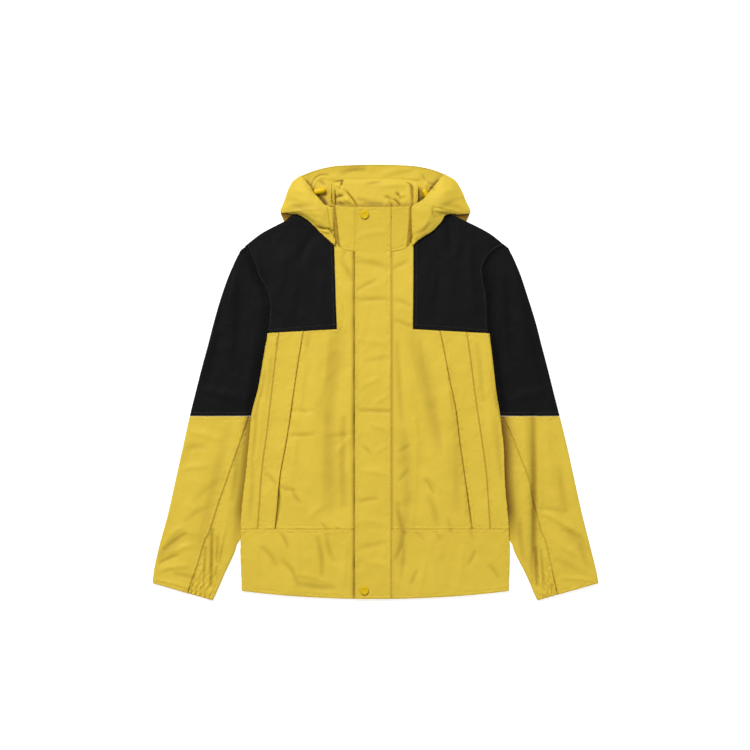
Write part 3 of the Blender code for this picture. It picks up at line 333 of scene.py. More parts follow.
# Hood sides and the hood's back, seen from above.
HOOD_CREASES = table(CREASE, [
    (-148, 352, -104, 318, 4, 0.5, 8.0), (-157, 331, -112, 304, 3, -0.6, 5.0),
    (-140, 322, -96, 292, 3, 0.5, 6.0), (-113, 281.5, -84, 275.5, -1, -2.0, 1.8),
    (-84, 275.5, -76, 268, 0, -1.5, 1.8), (-112, 277, -84, 270, -1, 0.9, 2.4),
    (-118, 290, -92, 284, -2, 0.8, 5.0), (-150, 318, -128, 309, 2, -0.6, 4.0),
    (148, 352, 108, 322, -4, 0.5, 8.0), (157, 331, 120, 312, -3, -0.6, 5.0),
    (104.5, 314, 103.5, 304, -1, -0.9, 1.8), (103.5, 304, 110, 294, -1, -0.9, 1.8),
    (107, 313, 121, 310, 1, -0.5, 2.0), (112, 308, 120, 301, 1, 0.8, 3.6),
    (96, 300, 84, 276, 2, 0.6, 5.0),
    # inside the hood, around the stoppers
    (-115.5, 356, -85.5, 374, 8, -1.2, 2.0), (-112, 355, -86, 369, 7, 0.8, 3.2),
    (-104, 364, -92, 356, 2, -0.9, 2.4), (-118, 348, -108, 336, 1, -0.9, 2.4),
    (-98, 332, -88, 322, 1, -1.4, 2.6), (84, 374, 104, 358, -3, -0.9, 2.2),
    (92, 366, 88, 350, 1, 0.9, 3.0), (100, 352, 106, 346, 0, -1.0, 2.4),
    (82, 350, 84, 326, 0, -1.3, 2.6), (-92, 352, -88, 336, 1, 0.9, 2.4),
    (-164, 308, -112, 316, 3, -0.6, 5.0), (-152, 344, -118, 338, 2, 0.6, 5.0),
    (-128, 302, -100, 290, -2, 0.7, 4.0), (164, 308, 118, 318, -3, -0.7, 5.0),
    (146, 346, 112, 338, -2, 0.6, 5.0), (98, 284, 78, 268, 2, -0.8, 4.0),
    (-60, 378, -20, 384, 3, -0.8, 4.0), (10, 370, 62, 384, 4, 0.7, 6.0),
    (38, 358, 58, 352, 2, -0.9, 4.0), (-30, 372, -5, 360, 3, 0.6, 5.0)])

# Inside of the collar's back wall.
COLLAR_CREASES = table(CREASE, [
    # folds beside the left end of the collar
    (-82, 364, -80, 316, 0, 1.3, 2.6), (-73, 346, -72, 318, 0, -1.8, 2.0),
    (-76, 362, -60, 365, 0, -1.3, 2.2), (-60, 363, -63, 350, 0, -1.5, 2.6),
    (-72, 357, -55, 346, 1, 1.3, 3.0), (-54, 346, -33, 318, 1, -1.5, 1.8),
    (-60, 341, -36, 316, 1, 1.4, 3.0), (-70, 334, -54, 336, 2, -1.6, 3.4),
    (-68, 324, -56, 322, 0, -1.2, 3.0), (-55, 331, -49, 325, 0, 1.9, 2.8),
    # middle and right
    (38, 341, 45, 332, 1, -1.5, 2.2), (33, 330, 44, 320, 1, -1.2, 2.2),
    (18, 335, 27, 330, 1, -0.9, 2.4), (26, 324, 30, 317, 1, -0.9, 2.2),
    (-12, 358, 4, 362, 1, -0.8, 2.4), (44, 336, 52, 338, 0, 1.0, 3.0),
    (10, 352, 52, 356, 2, 0.7, 5.0), (-30, 330, 10, 322, -2, -0.6, 4.0),
    (60, 366, 75, 344, 6, 1.5, 2.4), (74, 346, 72, 320, 0, 1.0, 2.4),
    (64, 352, 67, 320, 1, -1.2, 3.0), (56, 360, 68, 346, 3, -1.0, 2.2)])

# Back, seen from below: height is how far a crease is pressed up into the jacket.
BACK_CREASES = table(CREASE, [
    (-150, 60, -120, -180, 8, 0.8, 9.0), (-60, 40, -74, -240, -6, 0.6, 10.0),
    (70, 70, 92, -200, 6, 0.8, 9.0), (160, 20, 150, -250, -5, 0.6, 8.0),
    (-190, -40, -60, -20, 6, 0.5, 6.0), (40, -90, 190, -110, -6, 0.5, 6.0),
    (-120, -300, -40, -320, 5, 0.5, 6.0), (60, -310, 170, -300, 5, 0.5, 6.0),
    (-150, 240, -60, 140, 8, 0.6, 9.0), (150, 240, 70, 150, -8, 0.6, 9.0),
    (-262, 200, -300, 0, 5, 0.6, 8.0), (262, 200, 300, 0, -5, 0.6, 8.0),
    (-300, -90, -345, -330, 5, 0.7, 8.0), (300, -90, 345, -330, -5, 0.7, 8.0)])

CLOTH = 1.2              # wall of the fine shells
CELL = 3.2               # grid of the pieces in front
HEAD_CELL = 2.2          # grid of the hood and of the collar's back
SLEEVE_CELL = 2.2        # grid of the lower sleeves
BACK_CELL = 6.0          # grid of the pieces that lie on the surface
EDGE_STEPS = (0.8, 1.8, 3.2, 4.8, 6.0, 7.2, 9.2)   # grid lines close to a seam
SHOULDER_DROOP = 7.0     # how much the shoulder fold rounds down at its tip
STITCH_INSET = 6.0       # how far a row of topstitches runs from its seam
SEAM_HOLLOW = 0.6        # how much a panel drops at its seam
SEAM_HOLLOW_WIDTH = 1.5
STITCH_HOLLOW = 0.28     # how much it drops along its topstitches
STITCH_HOLLOW_WIDTH = 1.2
PUCKER = 0.45            # waves that the thread draws into a seam
PUCKER_SIZE = 5.5
PUCKER_AT = 4.0          # distance from the seam where they are strongest
PUCKER_REACH = 4.5
CREASE_DEPTH = 2.2       # strength of all the creases
BACK_CRINKLE = 0.5       # height of the crinkles of the back
SEAM_CLOSE = 0.3         # how far the edges of two sewn pieces reach into each other
FLAP_GAP = 1.5           # how much the front gives way under the storm flap's free edge
FLAP_GAP_WIDTH = 4.5
POCKET_GAPE = {"l": 3.0, "r": 0.6}   # how far a pocket's mouth opens near its foot
TUCK_LOWEST = 2.1        # outer face of the upper wall, just clear of the surface below
SLEEVE_TUCK = {"l": 4.8, "r": 5.6}   # how much a sleeve drops where the body lies against it
TUCK_REACH = {"l": 10.0, "r": 14.0}  # how far out from the body that drop reaches
TUCK_LEAST = 0.4         # share of the drop that is left above the yoke's seam
TUCK_FADE = 60.0         # length over which the drop comes and goes
TUCK_UNDER = 6.0         # how far its inner fold goes under the body
TUCK_END_Y = -292.0      # height where the sleeve comes free of the body
HEAD_UNDER = 3.0         # how far the upper sleeve goes under the yoke at the armhole
TOP_OVERLAP = 2.4        # how far the upper sleeve goes up past the armhole's end
ARMHOLE_DROP = {"l": 2.2, "r": 1.2}  # how much the body's edge rounds down along the armhole
ARMHOLE_ROUND = 3.0      # width of that rounding
ARMHOLE_FADE = 60.0      # how far below the underarm it ends
TIP_RISE = {"l": 6.0, "r": 0.0}      # rise of the shoulder's cloth under the hood's tip
TIP_RISE_X = 149.0
TIP_RISE_REACH = 9.0
DROOP_SHARE = 0.16       # share of the shoulder fold over which its tip rounds down

# Widths and lengths of the pieces, rounded: their grids are spaced out in them.
YOKE_WIDTH = 160.0
BACK_YOKE_LENGTH = 150.0
BAND_WIDTH = 36.0
SIDE_PANEL_WIDTH = 34.0
HEM_PANEL_WIDTH = 236.0
BACK_WIDTH = 470.0
BACK_LENGTH = 364.0
HEM_LENGTH = 125.0
UPPER_SLEEVE_WIDTH = 90.0
LOWER_SLEEVE_WIDTH = 62.0
LOWER_SLEEVE_LENGTH = 330.0
COLLAR_FRONT_WIDTH = 72.0
COLLAR_LENGTH = 84.0
HOOD_BACK_LENGTH = 76.0
HOOD_SIDE_LENGTH = 250.0
HOOD_SIDE_WIDTH = 60.0

# Painted shade: how far the cloth's colour is darkened where it lies deep or in shade, from 0 to 1.
TROUGH_SHADE = 0.16      # in each millimetre of a fold's trough
CREASE_SHADE = 2.0       # times that in a crease
FLAP_SEAM_SHADE = 0.5    # along the storm flap's sewn edge
BAND_SEAM_SHADE = 0.45   # in the seam between pocket band and side panel
NECK_SHADE = 0.6         # inside the collar, at the neck
LOW_CORNER_SHADE = 1.1   # on the hood's back, beside the collar's foot
COLLAR_TROUGH_SHADE = 4.0    # times TROUGH_SHADE inside the collar
HOOD_TROUGH_SHADE = 3.5      # and inside the hood
FREE_EDGE_WIDTH = 3.6    # width of the shade beside the storm flap's free edge
SEWN_EDGE_WIDTH = 1.5    # beside its sewn edge
MOUTH_WIDTH = 1.6        # and in a closed pocket's mouth
SLEEVE_SEAM_SHADE = {"l": 0.5, "r": 0.2}   # in the front seam of a lower sleeve
TUCK_SHADE = {"l": 0.7, "r": 1.0}          # where the body lies against a sleeve


# ------------------------------------------------------------------------------ shape functions
def smooth(columns, key, value, at):
    """Value column of a table as a smooth curve through its rows, read at `at` in the key."""
    order = np.argsort(columns[key])
    keys = np.array(columns[key], float)[order]
    values = np.array(columns[value], float)[order]
    slopes = np.gradient(values, keys)
    at = np.clip(at, keys[0], keys[-1])
    i = np.clip(np.searchsorted(keys, at) - 1, 0, len(keys) - 2)
    span = keys[i + 1] - keys[i]
    t = (at - keys[i]) / span
    return ((2 * t**3 - 3 * t**2 + 1) * values[i] + (t**3 - 2 * t**2 + t) * span * slopes[i]
            + (3 * t**2 - 2 * t**3) * values[i + 1] + (t**3 - t**2) * span * slopes[i + 1])


def x_on(curve, y):
    """x at which a smooth curve of the tables passes a height."""
    return smooth(curve, "y", "x", y)


def section(cut, share):
    """Columns of a table of sections, read at a share of the way through its rows."""
    last = len(next(iter(cut.values()))) - 1
    rows = {"row": range(last + 1), **cut}
    return [float(smooth(rows, "row", name, share * last)) for name in cut]


def mix(a, b, t):
    return a + (b - a) * t


def bell(away, width):
    """1 at 0, with a smooth fall to both sides that is mostly done at the width."""
    return np.exp(-(away / width)**2)


def ramp(value, span):
    """Rise from 0 at 0 to 1 at the span."""
    return np.clip(value / span, 0.0, 1.0)


FOLD_END = 0.6           # height of a fold at its ends, as a share of its middle's


def fold_height(folds, x, y):
    """Sum of the soft ridges and troughs of a fold table at arrays of points."""
    total = np.zeros(np.broadcast(x, y).shape)
    columns = {"bow": [0.0] * len(folds["x0"]), **folds}
    for x0, y0, x1, y1, bow, height, half_width in zip(*map(columns.get, CREASE.split())):
        length = math.hypot(x1 - x0, y1 - y0)
        along_x, along_y = (x1 - x0) / length, (y1 - y0) / length
        share = np.clip(((x - x0) * along_x + (y - y0) * along_y) / length, 0.0, 1.0)
        side = 4 * bow * share * (1 - share)
        away = np.hypot(x - mix(x0, x1, share) + side * along_y,
                        y - mix(y0, y1, share) - side * along_x)
        swell = mix(FOLD_END, 1.0, np.sin(math.pi * share))
        total += height * swell * bell(away, half_width)
    return total


def noise_at(x, y, size, seed):
    """Smooth noise, about -1 to 1, at arrays of points."""
    flat = [noise.noise(Vector((a / size, b / size, seed))) for a, b in zip(x.flat, y.flat)]
    return 2.0 * np.array(flat).reshape(x.shape)


SWELL_HEIGHT = 0.7       # broad swells of the cloth, and their size
SWELL_SIZE = 58.0
RIDGES = table("height size stretch_x stretch_y seed", [
    (0.65, 30.0, 1.25, 0.8, 8.7), (0.20, 13.0, 0.9, 1.2, 5.3)])
RIDGE_MEAN = 0.6


def crinkle(x, y, seed=0.0):
    """Slight unevenness of thin coated cloth: broad swells and finer, sharper ridges."""
    total = SWELL_HEIGHT * noise_at(x, y, SWELL_SIZE, 3.1 + seed)
    for height, size, stretch_x, stretch_y, own in zip(*RIDGES.values()):
        ridges = 1.0 - np.abs(noise_at(x * stretch_x, y * stretch_y, size, own + seed))
        total = total + height * (ridges - RIDGE_MEAN)
    return total


def face_height(folds, creases, x, y, seed):
    """Height of a face that looks up, with its folds, creases and crinkles."""
    x, y = np.broadcast_arrays(np.asarray(x, float), np.asarray(y, float))
    return (FRONT_TOP + fold_height(folds, x, y)
            + CREASE_DEPTH * fold_height(creases, x, y) + crinkle(x, y, seed))


def front_height(x, y):
    return face_height(FRONT_FOLDS, FRONT_CREASES, x, y, 0.0)


def sleeve_height(x, y):
    return face_height(SLEEVE_FOLDS, SLEEVE_CREASES, x, y, 20.0)


def back_height(x, y):
    """How far the back is pressed up off the surface."""
    x, y = np.broadcast_arrays(np.asarray(x, float), np.asarray(y, float))
    return fold_height(BACK_CREASES, x, y) + BACK_CRINKLE * ramp(crinkle(x, y, 40.0), 1.0)


def side_x(side, y):
    return x_on(SIDE[side], y)


def yoke_inner_x(side, y):
    """x of the yoke's inner edge, which is straight between the points of its table."""
    return np.interp(y, YOKE_INNER[side]["y"], YOKE_INNER[side]["x"])


def hem_y(x):
    return HEM_CENTRE_Y + HEM_LIFT * (x / HALF_HEM)**2


def yoke_seam_y(x):
    return YOKE_SEAM_Y - YOKE_SEAM_DROP * np.abs(x)


def main_y(level, x):
    """Height on the body between the yoke seam (level 0) and the hem panel's seam (level 1)."""
    return mix(yoke_seam_y(x), HEM_SEAM_Y, level)


def lower_y(level, x):
    """Height on the body between the hem panel's seam (level 0) and the hem (level 1)."""
    return mix(HEM_SEAM_Y, hem_y(x), level)


ZONE_Y = {"main": main_y, "hem": lower_y}


def on_curve(x_at, y_at, start):
    """Points where a curve x_at(y) crosses rows y_at(x), found from a y to start with."""
    y = start
    for _ in range(14):
        y = (y + y_at(x_at(y))) / 2
    return x_at(y), y


def shoulder_point(side, share):
    """Point on the shoulder fold, from the tip (share 0) to the neck (share 1)."""
    x = SIGN[side] * mix(SHOULDER_TIP[0], NECK_POINT[0], share)
    y = mix(SHOULDER_TIP[1], NECK_POINT[1], share) + 4 * SHOULDER_BOW * share * (1 - share)
    rise = TIP_RISE[side] * bell(np.abs(x) - TIP_RISE_X, TIP_RISE_REACH)
    return x, y - SHOULDER_DROOP * bell(share, DROOP_SHARE) + rise


def shoulder_y(x):
    """Height of the shoulder fold at x."""
    share = ramp(SHOULDER_TIP[0] - np.abs(x), SHOULDER_TIP[0] - NECK_POINT[0])
    left, right = (shoulder_point(side, share)[1] for side in SIGN)
    return np.where(np.asarray(x) < 0, left, right)


def armhole_end(side, inward):
    """Armhole's end of a line that runs `inward` below the shoulder fold."""
    return on_curve(lambda y: side_x(side, y), lambda x: shoulder_y(x) - inward, 245.0)


def edge_of(curve, levels, y_at):
    """x of a smooth seam at each level."""
    return on_curve(lambda y: x_on(curve, y), lambda x: y_at(levels, x),
                    np.zeros(len(levels)))[0]


def collar_row(level):
    return {name: mix(values[0], values[1], level) for name, values in COLLAR.items()}


def collar_across(level, x):
    """Share across the collar, from -1 at its left to 1 at its right, of a point at x."""
    row = collar_row(level)
    return 2 * (x - row["left"]) / (row["right"] - row["left"]) - 1


def collar_point(level, across, face):
    """Points of the collar's outer face.  face is 1 on the front wall and -1 on the back wall."""
    row = collar_row(level)
    bend = row["squareness"]
    depth = face * np.maximum(1.0 - np.abs(across)**bend, 0.0)**(1.0 / bend)
    return np.stack(np.broadcast_arrays(mix(row["left"], row["right"], (across + 1) / 2),
                                        mix(row["back_y"], row["front_y"], (depth + 1) / 2),
                                        mix(row["back_z"], row["front_z"], (depth + 1) / 2)), -1)


def trough(folds, x, y):
    """Shade of points in the troughs of a table of folds or creases."""
    return TROUGH_SHADE * np.maximum(-fold_height(folds, x, y), 0.0)


def fold_shade(folds, creases, x, y):
    """Shade of points in both the large folds and the creases of a face."""
    return trough(folds, x, y) + CREASE_SHADE * trough(creases, x, y)


def front_shade(side, grid):
    """Shade of the front's points: beside the storm flap, in the pocket mouth and in folds."""
    x, y = grid[..., 0], grid[..., 1]
    uneven = 0.7 + 0.3 * noise_at(x * 0.0, y, 38.0, 2.9)
    free_edge = uneven * bell(x - FLAP_LEFT_X + 0.5, FREE_EDGE_WIDTH)
    sewn_edge = FLAP_SEAM_SHADE * bell(x - FLAP_RIGHT_X - 1.3, SEWN_EDGE_WIDTH)
    seam = np.abs(x - x_on(POCKET_INNER[side], y))
    mouth = uneven * bell(seam, MOUTH_WIDTH + POCKET_GAPE[side] * pocket_gape(y))
    mouth = np.where((y < yoke_seam_y(x)) & (y > HEM_SEAM_Y), mouth, 0.0)
    return free_edge + sewn_edge + mouth + fold_shade(FRONT_FOLDS, FRONT_CREASES, x, y)


def panel_shade(side, grid):
    """Shade of pocket band and side panel: at the seam between them and in folds."""
    x, y = grid[..., 0], grid[..., 1]
    seam = BAND_SEAM_SHADE * bell(x - x_on(POCKET_OUTER[side], y), 1.3)
    return seam + fold_shade(FRONT_FOLDS, FRONT_CREASES, x, y)


def sleeve_shade(side, grid):
    """Shade of the sleeve's points: where the body lies against it, and in folds."""
    x, y = grid[..., 0], grid[..., 1]
    inward = np.maximum(SIGN[side] * (x - side_x(side, y)), 0.0)
    # painted shadow of the body's edge on the sleeve
    body_shadow = TUCK_SHADE[side] * bell(inward, TUCK_REACH[side])
    body_shadow *= ramp(y - TUCK_END_Y, TUCK_FADE)
    return body_shadow + fold_shade(SLEEVE_FOLDS, SLEEVE_CREASES, x, y)


def neck_y(x):
    """Front neck seam of the body at x."""
    across = np.clip(collar_across(0.0, x), -0.95, 0.95)
    return collar_point(0.0, across, 1.0)[..., 1] - NECK_CLEAR


def flap_shadow_gap(x, y):
    """How much the front gives way under the storm flap's free edge."""
    depth = FLAP_GAP + 0.7 * noise_at(np.zeros(np.shape(x)), y, 50.0, 6.1)
    return depth * bell(x - FLAP_LEFT_X - 1.0, FLAP_GAP_WIDTH)


def armhole_drop(x, y):
    """How much the body's edge rounds down along the armhole, and fades below it."""
    total = np.zeros(np.shape(x))
    for side, sign in SIGN.items():
        inward = np.maximum(sign * (side_x(side, y) - x), 0.0)
        fade = ramp(y - ARMPIT_Y + ARMHOLE_FADE, ARMHOLE_FADE)
        drop = ARMHOLE_DROP[side] * fade * bell(inward, ARMHOLE_ROUND)
        total += np.where(sign * x > 0, drop, 0.0)
    return total


# -------------------------------------------------------------------------------- mesh building
GRIDS = {}               # outer face of each shell, for the stitches on it


def placed(name, data):
    """New object in the scene."""
    made = bpy.data.objects.new(name, data)
    bpy.context.scene.collection.objects.link(made)
    return made


def every_cell(grid):
    return np.ones((grid.shape[0] - 1, grid.shape[1] - 1), bool)


def spaced(length, cell):
    """Shares of a length: close together near both ends, and a cell apart between them."""
    ends = [step for step in EDGE_STEPS if step < length / 2 - 1.0]
    inner = ends[-1] if ends else 0.0
    count = max(1, round((length - 2 * inner) / cell))
    middle = [inner + (length - 2 * inner) * i / count for i in range(1, count)]
    marks = [0.0, *ends, *middle, *[length - step for step in reversed(ends)], length]
    return np.array(marks) / length


def even(count):
    return np.linspace(0.0, 1.0, count + 1)


def roll_steps(count):
    """Steps round a folded edge, from its upper face to its lower one: how far each stands in
    from the fold's outermost line, and its height, for a roll of radius 1."""
    angles = np.linspace(math.pi / 2, -math.pi / 2, count + 1)
    return 1 - np.cos(angles), 1 + np.sin(angles)


def border_distance(mesh):
    """Distance of each vertex from the piece's open borders, in millimetres."""
    work = bmesh.new()
    work.from_mesh(mesh)
    samples = []
    for edge in work.edges:
        if edge.is_boundary:
            a, b = (vert.co for vert in edge.verts)
            count = max(1, math.ceil(edge.calc_length() / MM))
            samples += [a.lerp(b, i / count) for i in range(count)]
    work.free()
    tree = KDTree(len(samples))
    for i, point in enumerate(samples):
        tree.insert(point, i)
    tree.balance()
    return np.array([tree.find(vert.co)[2] / MM for vert in mesh.vertices])


def seam_shape(mesh, stitched, smooth_edge):
    """Moves the outer face in along the seams and topstitches, with small puckers."""
    away = border_distance(mesh) + smooth_edge
    points = np.array([vert.co for vert in mesh.vertices]) / MM
    normals = np.array([normal.vector for normal in mesh.vertex_normals])
    pucker = noise_at(points[:, 0], points[:, 1] + points[:, 2], PUCKER_SIZE, 1.7)
    offset = -SEAM_HOLLOW * bell(away, SEAM_HOLLOW_WIDTH)
    if stitched:
        offset -= STITCH_HOLLOW * bell(away - STITCH_INSET, STITCH_HOLLOW_WIDTH)
        offset += PUCKER * (pucker - 0.3) * bell(away - PUCKER_AT, PUCKER_REACH)
    points += normals * offset[:, None]
    points[:, 2] = np.maximum(points[:, 2], 0.0)
    mesh.vertices.foreach_set("co", (points * MM).ravel())
    mark = mesh.attributes.new("seam_distance", "FLOAT", "POINT")
    mark.data.foreach_set("value", away.astype(np.float32))
    return points


def reach_out(grid, reach):
    """Moves the four borders of a grid outwards in their own plane."""
    for edge, inner in ((grid[0], grid[1]), (grid[-1], grid[-2]),
                        (grid[:, 0], grid[:, 1]), (grid[:, -1], grid[:, -2])):
        way = edge - inner
        edge += way * (reach / np.maximum(np.linalg.norm(way, axis=1), 0.05))[:, None]
    return grid


def shell(name, grid, look, looks_up, column=0, kept=None, stitched=True, rim_reach=SEAM_CLOSE,
          shade=None, smooth_edge=0.0):
    """Thin shell of cloth from the grid of points on its outer face.  looks_up says whether the
    faces of the given column look up; kept marks the cells of a piece with a cut corner; shade is
    the painted shade of each point, from 0 to 1, where the cloth lies in a fold or in shadow;
    smooth_edge is above 0 at the points where a border shows no seam."""
    grid = reach_out(grid.copy(), rim_reach)
    cells = np.argwhere(every_cell(grid) if kept is None else kept)
    columns = grid.shape[1]
    corners = (0, 1, columns + 1, columns)
    faces = [[i * columns + j + corner for corner in corners] for i, j in cells]
    sheet = bpy.data.meshes.new(name)
    sheet.from_pydata((grid.reshape(-1, 3) * MM).tolist(), [], faces)
    told = sum(face.normal.z for face, cell in zip(sheet.polygons, cells) if cell[1] == column)
    if (told > 0) != looks_up:
        sheet.flip_normals()
    smooth_edge = np.broadcast_to(smooth_edge, grid.shape[:2]).ravel()
    GRIDS[name] = seam_shape(sheet, stitched, smooth_edge).reshape(grid.shape)
    # shade is stored for the cloth's colour, which it darkens as painted shade
    if shade is not None:
        depth = sheet.attributes.new("painted_shade", "FLOAT", "POINT")
        depth.data.foreach_set("value", np.clip(shade, 0.0, 1.0).ravel().astype(np.float32))
    work = bmesh.new()
    work.from_mesh(sheet)
    loose = [vert for vert in work.verts if not vert.link_faces]
    bmesh.ops.delete(work, geom=loose, context="VERTS")
    work.to_mesh(sheet)
    work.free()
    sheet.shade_smooth()
    draft = placed(name + "_draft", sheet)
    thicken = draft.modifiers.new("Cloth wall", "SOLIDIFY")
    thicken.thickness = CLOTH * MM
    thicken.offset = -1.0
    piece = plain_mesh(draft, name + "_cloth")
    piece.data.set_sharp_from_angle(angle=math.radians(50.0))
    piece.data.materials.clear()
    piece.data.materials.append(LOOKS[look])
    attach(piece, "root")
    return piece


def cloth(node, grid, look, looks_up, rests_on, kept=None, with_pieces=(), **settings):
    """Cloth piece that stands for a node, whose solid it hides."""
    piece = shell(node, grid, look, looks_up, kept=kept, **settings)
    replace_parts(piece, node)


def plain_mesh(draft, name):
    """The evaluated object as a plain mesh object, in place of its draft."""
    bpy.context.view_layer.update()
    made = bpy.data.meshes.new_from_object(draft.evaluated_get(
        bpy.context.evaluated_depsgraph_get()))
    made.name = name
    piece = placed(name, made)
    bpy.data.objects.remove(draft)
    return piece


def layer(x, y, z):
    return np.stack(np.broadcast_arrays(x, y, z), -1)


# ----------------------------------------------------------------------------- pieces: the body
ARMPIT_TOP = yoke_seam_y(HALF_HEM * 0.81)      # yoke seam straight above the underarm
ARMPIT_LEVEL = (ARMPIT_TOP - ARMPIT_Y) / (ARMPIT_TOP - HEM_SEAM_Y)
LOWER_STEPS = 7          # steps in level from the underarm to the hem panel
TURN_LEVELS = [mix(ARMPIT_LEVEL, 1.0, i / LOWER_STEPS) for i in range(len(UNDERARM_TURNS) + 1)]
MAIN_LEVELS = spaced(YOKE_SEAM_Y - HEM_SEAM_Y, CELL)
HEM_LEVELS = spaced(HEM_SEAM_Y - HEM_CENTRE_Y, CELL)


ROLL_STEPS = 10          # steps round a fold
SETTLE_FROM = 0.3        # share of the fold's height from which the front's folds go round it


def clear_ends(y, top, bottom):
    """Moves the first and last rows of a piece clear of the seams that they lie on."""
    y = np.array(y)
    y[0] += top
    y[-1] += bottom
    return y


def front_yokes():
    """Black front yokes, each rolled over the shoulder fold onto the back."""
    for side, sign in SIGN.items():
        inset = -sign * EDGE_INSET
        foot = edge_of(SIDE[side], np.zeros(1), main_y)[0]
        foot_y = float(main_y(0.0, foot))
        top_y = armhole_end(side, ROLL)[1]
        shares = spaced(top_y - foot_y, CELL)[:-1]
        columns = spaced(YOKE_WIDTH, CELL)
        inner_foot = float(yoke_seam_y(yoke_inner_x(side, YOKE_FOOT_Y)))
        armhole_y = mix(foot_y, top_y, shares)
        inner_y = mix(inner_foot, NECK_POINT[1] - ROLL, shares)
        start = side_x(side, armhole_y) + inset
        inner = yoke_inner_x(side, inner_y) + sign * EDGE_INSET
        x = mix(start[:, None], inner[:, None], columns[None])
        y = mix(armhole_y[:, None], inner_y[:, None], columns[None])
        z = front_height(x, y) - armhole_drop(x, y)
        y = y + 4 * SHOULDER_BOW * shares[:, None] * (columns * (1 - columns))[None]
        y[0] += SEAM / 2
        rows = list(layer(x, y, z))
        settle = z[-1] - FRONT_TOP
        for inward, height in [*zip(*(part * ROLL for part in roll_steps(ROLL_STEPS))),
                               (ROLL + SHOULDER_WRAP / 2, 0.0), (ROLL + SHOULDER_WRAP, 0.0)]:
            begin = armhole_end(side, inward)[0] + inset
            x = mix(begin, sign * NECK_POINT[0], columns)
            z = height + settle * max(0.0, height / FRONT_TOP - SETTLE_FROM)
            rows.append(layer(x, shoulder_y(x) - inward, z))
        cloth("front_yoke_" + side, np.array(rows), "black_cloth", True, ["back_yoke"])


BACK_NECK = (0.3, 0.7)   # share of the back yoke's width at the left and right end of its neck


def back_yoke():
    """Black back yoke, up to the shoulder wraps and the back neck."""
    wrap = ROLL + SHOULDER_WRAP + SEAM
    ends = {}
    for side in SIGN:
        foot = edge_of(SIDE[side], np.zeros(1), main_y)[0]
        ends[side] = (float(main_y(0.0, foot)), armhole_end(side, wrap)[1])
    rows = []
    across = np.concatenate([np.linspace(0.0, BACK_NECK[0], 20), np.linspace(*BACK_NECK, 24)[1:],
                             np.linspace(BACK_NECK[1], 1.0, 20)[1:]])
    for share in spaced(BACK_YOKE_LENGTH, BACK_CELL):
        left_y, right_y = (mix(*ends[side], share) for side in SIGN)
        left = side_x("l", left_y) + EDGE_INSET
        right = side_x("r", right_y) - EDGE_INSET
        x = mix(left, right, across)
        top = np.where(np.abs(x) < NECK_POINT[0] - 1.0, NECK_POINT[1], shoulder_y(x) - wrap)
        y = mix(yoke_seam_y(x) + SEAM, top, share)
        firm = min(1.0, 5 * share)
        y += firm * ((left_y - y[0]) * np.clip(1 - across / BACK_NECK[0], 0.0, 1.0)
                     + (right_y - y[-1]) * ramp(across - BACK_NECK[1], 0.3))
        rows.append(layer(x, y, back_height(x, y)))
    cloth("back_yoke", np.array(rows), "black_cloth", False, ["floor"], column=30)


def front_mains():
    """Yellow fronts: the width between pocket band and centre, and the strip beside the yoke."""
    for side, sign in SIGN.items():
        centre = CENTRE_SPLIT_X + sign * SEAM / 2
        corner = edge_of(POCKET_INNER[side], MAIN_LEVELS[::-1], main_y) - sign * EDGE_INSET
        mouth = main_y(MAIN_LEVELS[::-1], corner)
        corner = corner - sign * POCKET_GAPE[side] * pocket_gape(mouth)
        middle = yoke_inner_x(side, YOKE_FOOT_Y) - sign * EDGE_INSET
        outer_shares = spaced(abs(middle - corner.mean()), CELL)
        inner_shares = spaced(abs(middle - centre), CELL)[1:]
        x = np.concatenate([mix(corner[:, None], middle, outer_shares[None]),
                            np.repeat(mix(middle, centre, inner_shares)[None], len(corner), 0)], 1)
        y = clear_ends(main_y(MAIN_LEVELS[::-1][:, None], x), SEAM, 0.0)
        rows = [*layer(x, y, front_height(x, y) - pocket_mouth(side, x, y)
                       - flap_shadow_gap(x, y))]
        strip = spaced(NECK_POINT[1] - YOKE_SEAM_Y - 60.0, CELL)[1:]
        below = len(outer_shares) - 1
        for share in strip:
            edge_y = mix(yoke_seam_y(middle), neck_y(sign * 72.0), share)
            edge = yoke_inner_x(side, edge_y) - sign * EDGE_INSET
            x = np.concatenate([np.full(below + 1, edge), mix(edge, centre, inner_shares)])
            y = mix(yoke_seam_y(x), neck_y(x), share)
            rows.append(layer(x, y, front_height(x, y) - flap_shadow_gap(x, y)))
        grid = np.array(rows)
        kept = every_cell(grid)
        kept[len(corner) - 1:, :below] = False
        cloth("front_" + side, grid[:, ::-1], "yellow_cloth", True, ["back_body"],
              kept=kept[:, ::-1], shade=front_shade(side, grid[:, ::-1]))


MOUTH_DROP = 1.9         # how much the front drops at a pocket's mouth
MOUTH_REACH = 4.5        # how far in that drop reaches
MOUTH_TOP_Y = 100.0      # the drop grows from here down
MOUTH_OPENS_OVER = 160.0
MOUTH_LEAST = 0.45       # share of it that is there at the top
GAPE_Y = -222.0          # height where the mouth opens widest
GAPE_REACH = 30.0
BAND_LIFT = 0.8          # how far a pocket band's inner edge stands up
BAND_LIFT_REACH = 7.0


def pocket_mouth(side, x, y):
    """How much the front drops just inside the pocket band, where the pocket opens."""
    inward = np.abs(x - x_on(POCKET_INNER[side], y))
    open_part = np.clip((MOUTH_TOP_Y - y) / MOUTH_OPENS_OVER, MOUTH_LEAST, 1.0)
    gape = POCKET_GAPE[side] * pocket_gape(y)
    return (MOUTH_DROP * open_part + gape) * bell(inward, MOUTH_REACH)


def pocket_gape(y):
    """Share of the pocket's opening: widest low down, closed at the ends."""
    return bell(y - GAPE_Y, GAPE_REACH)


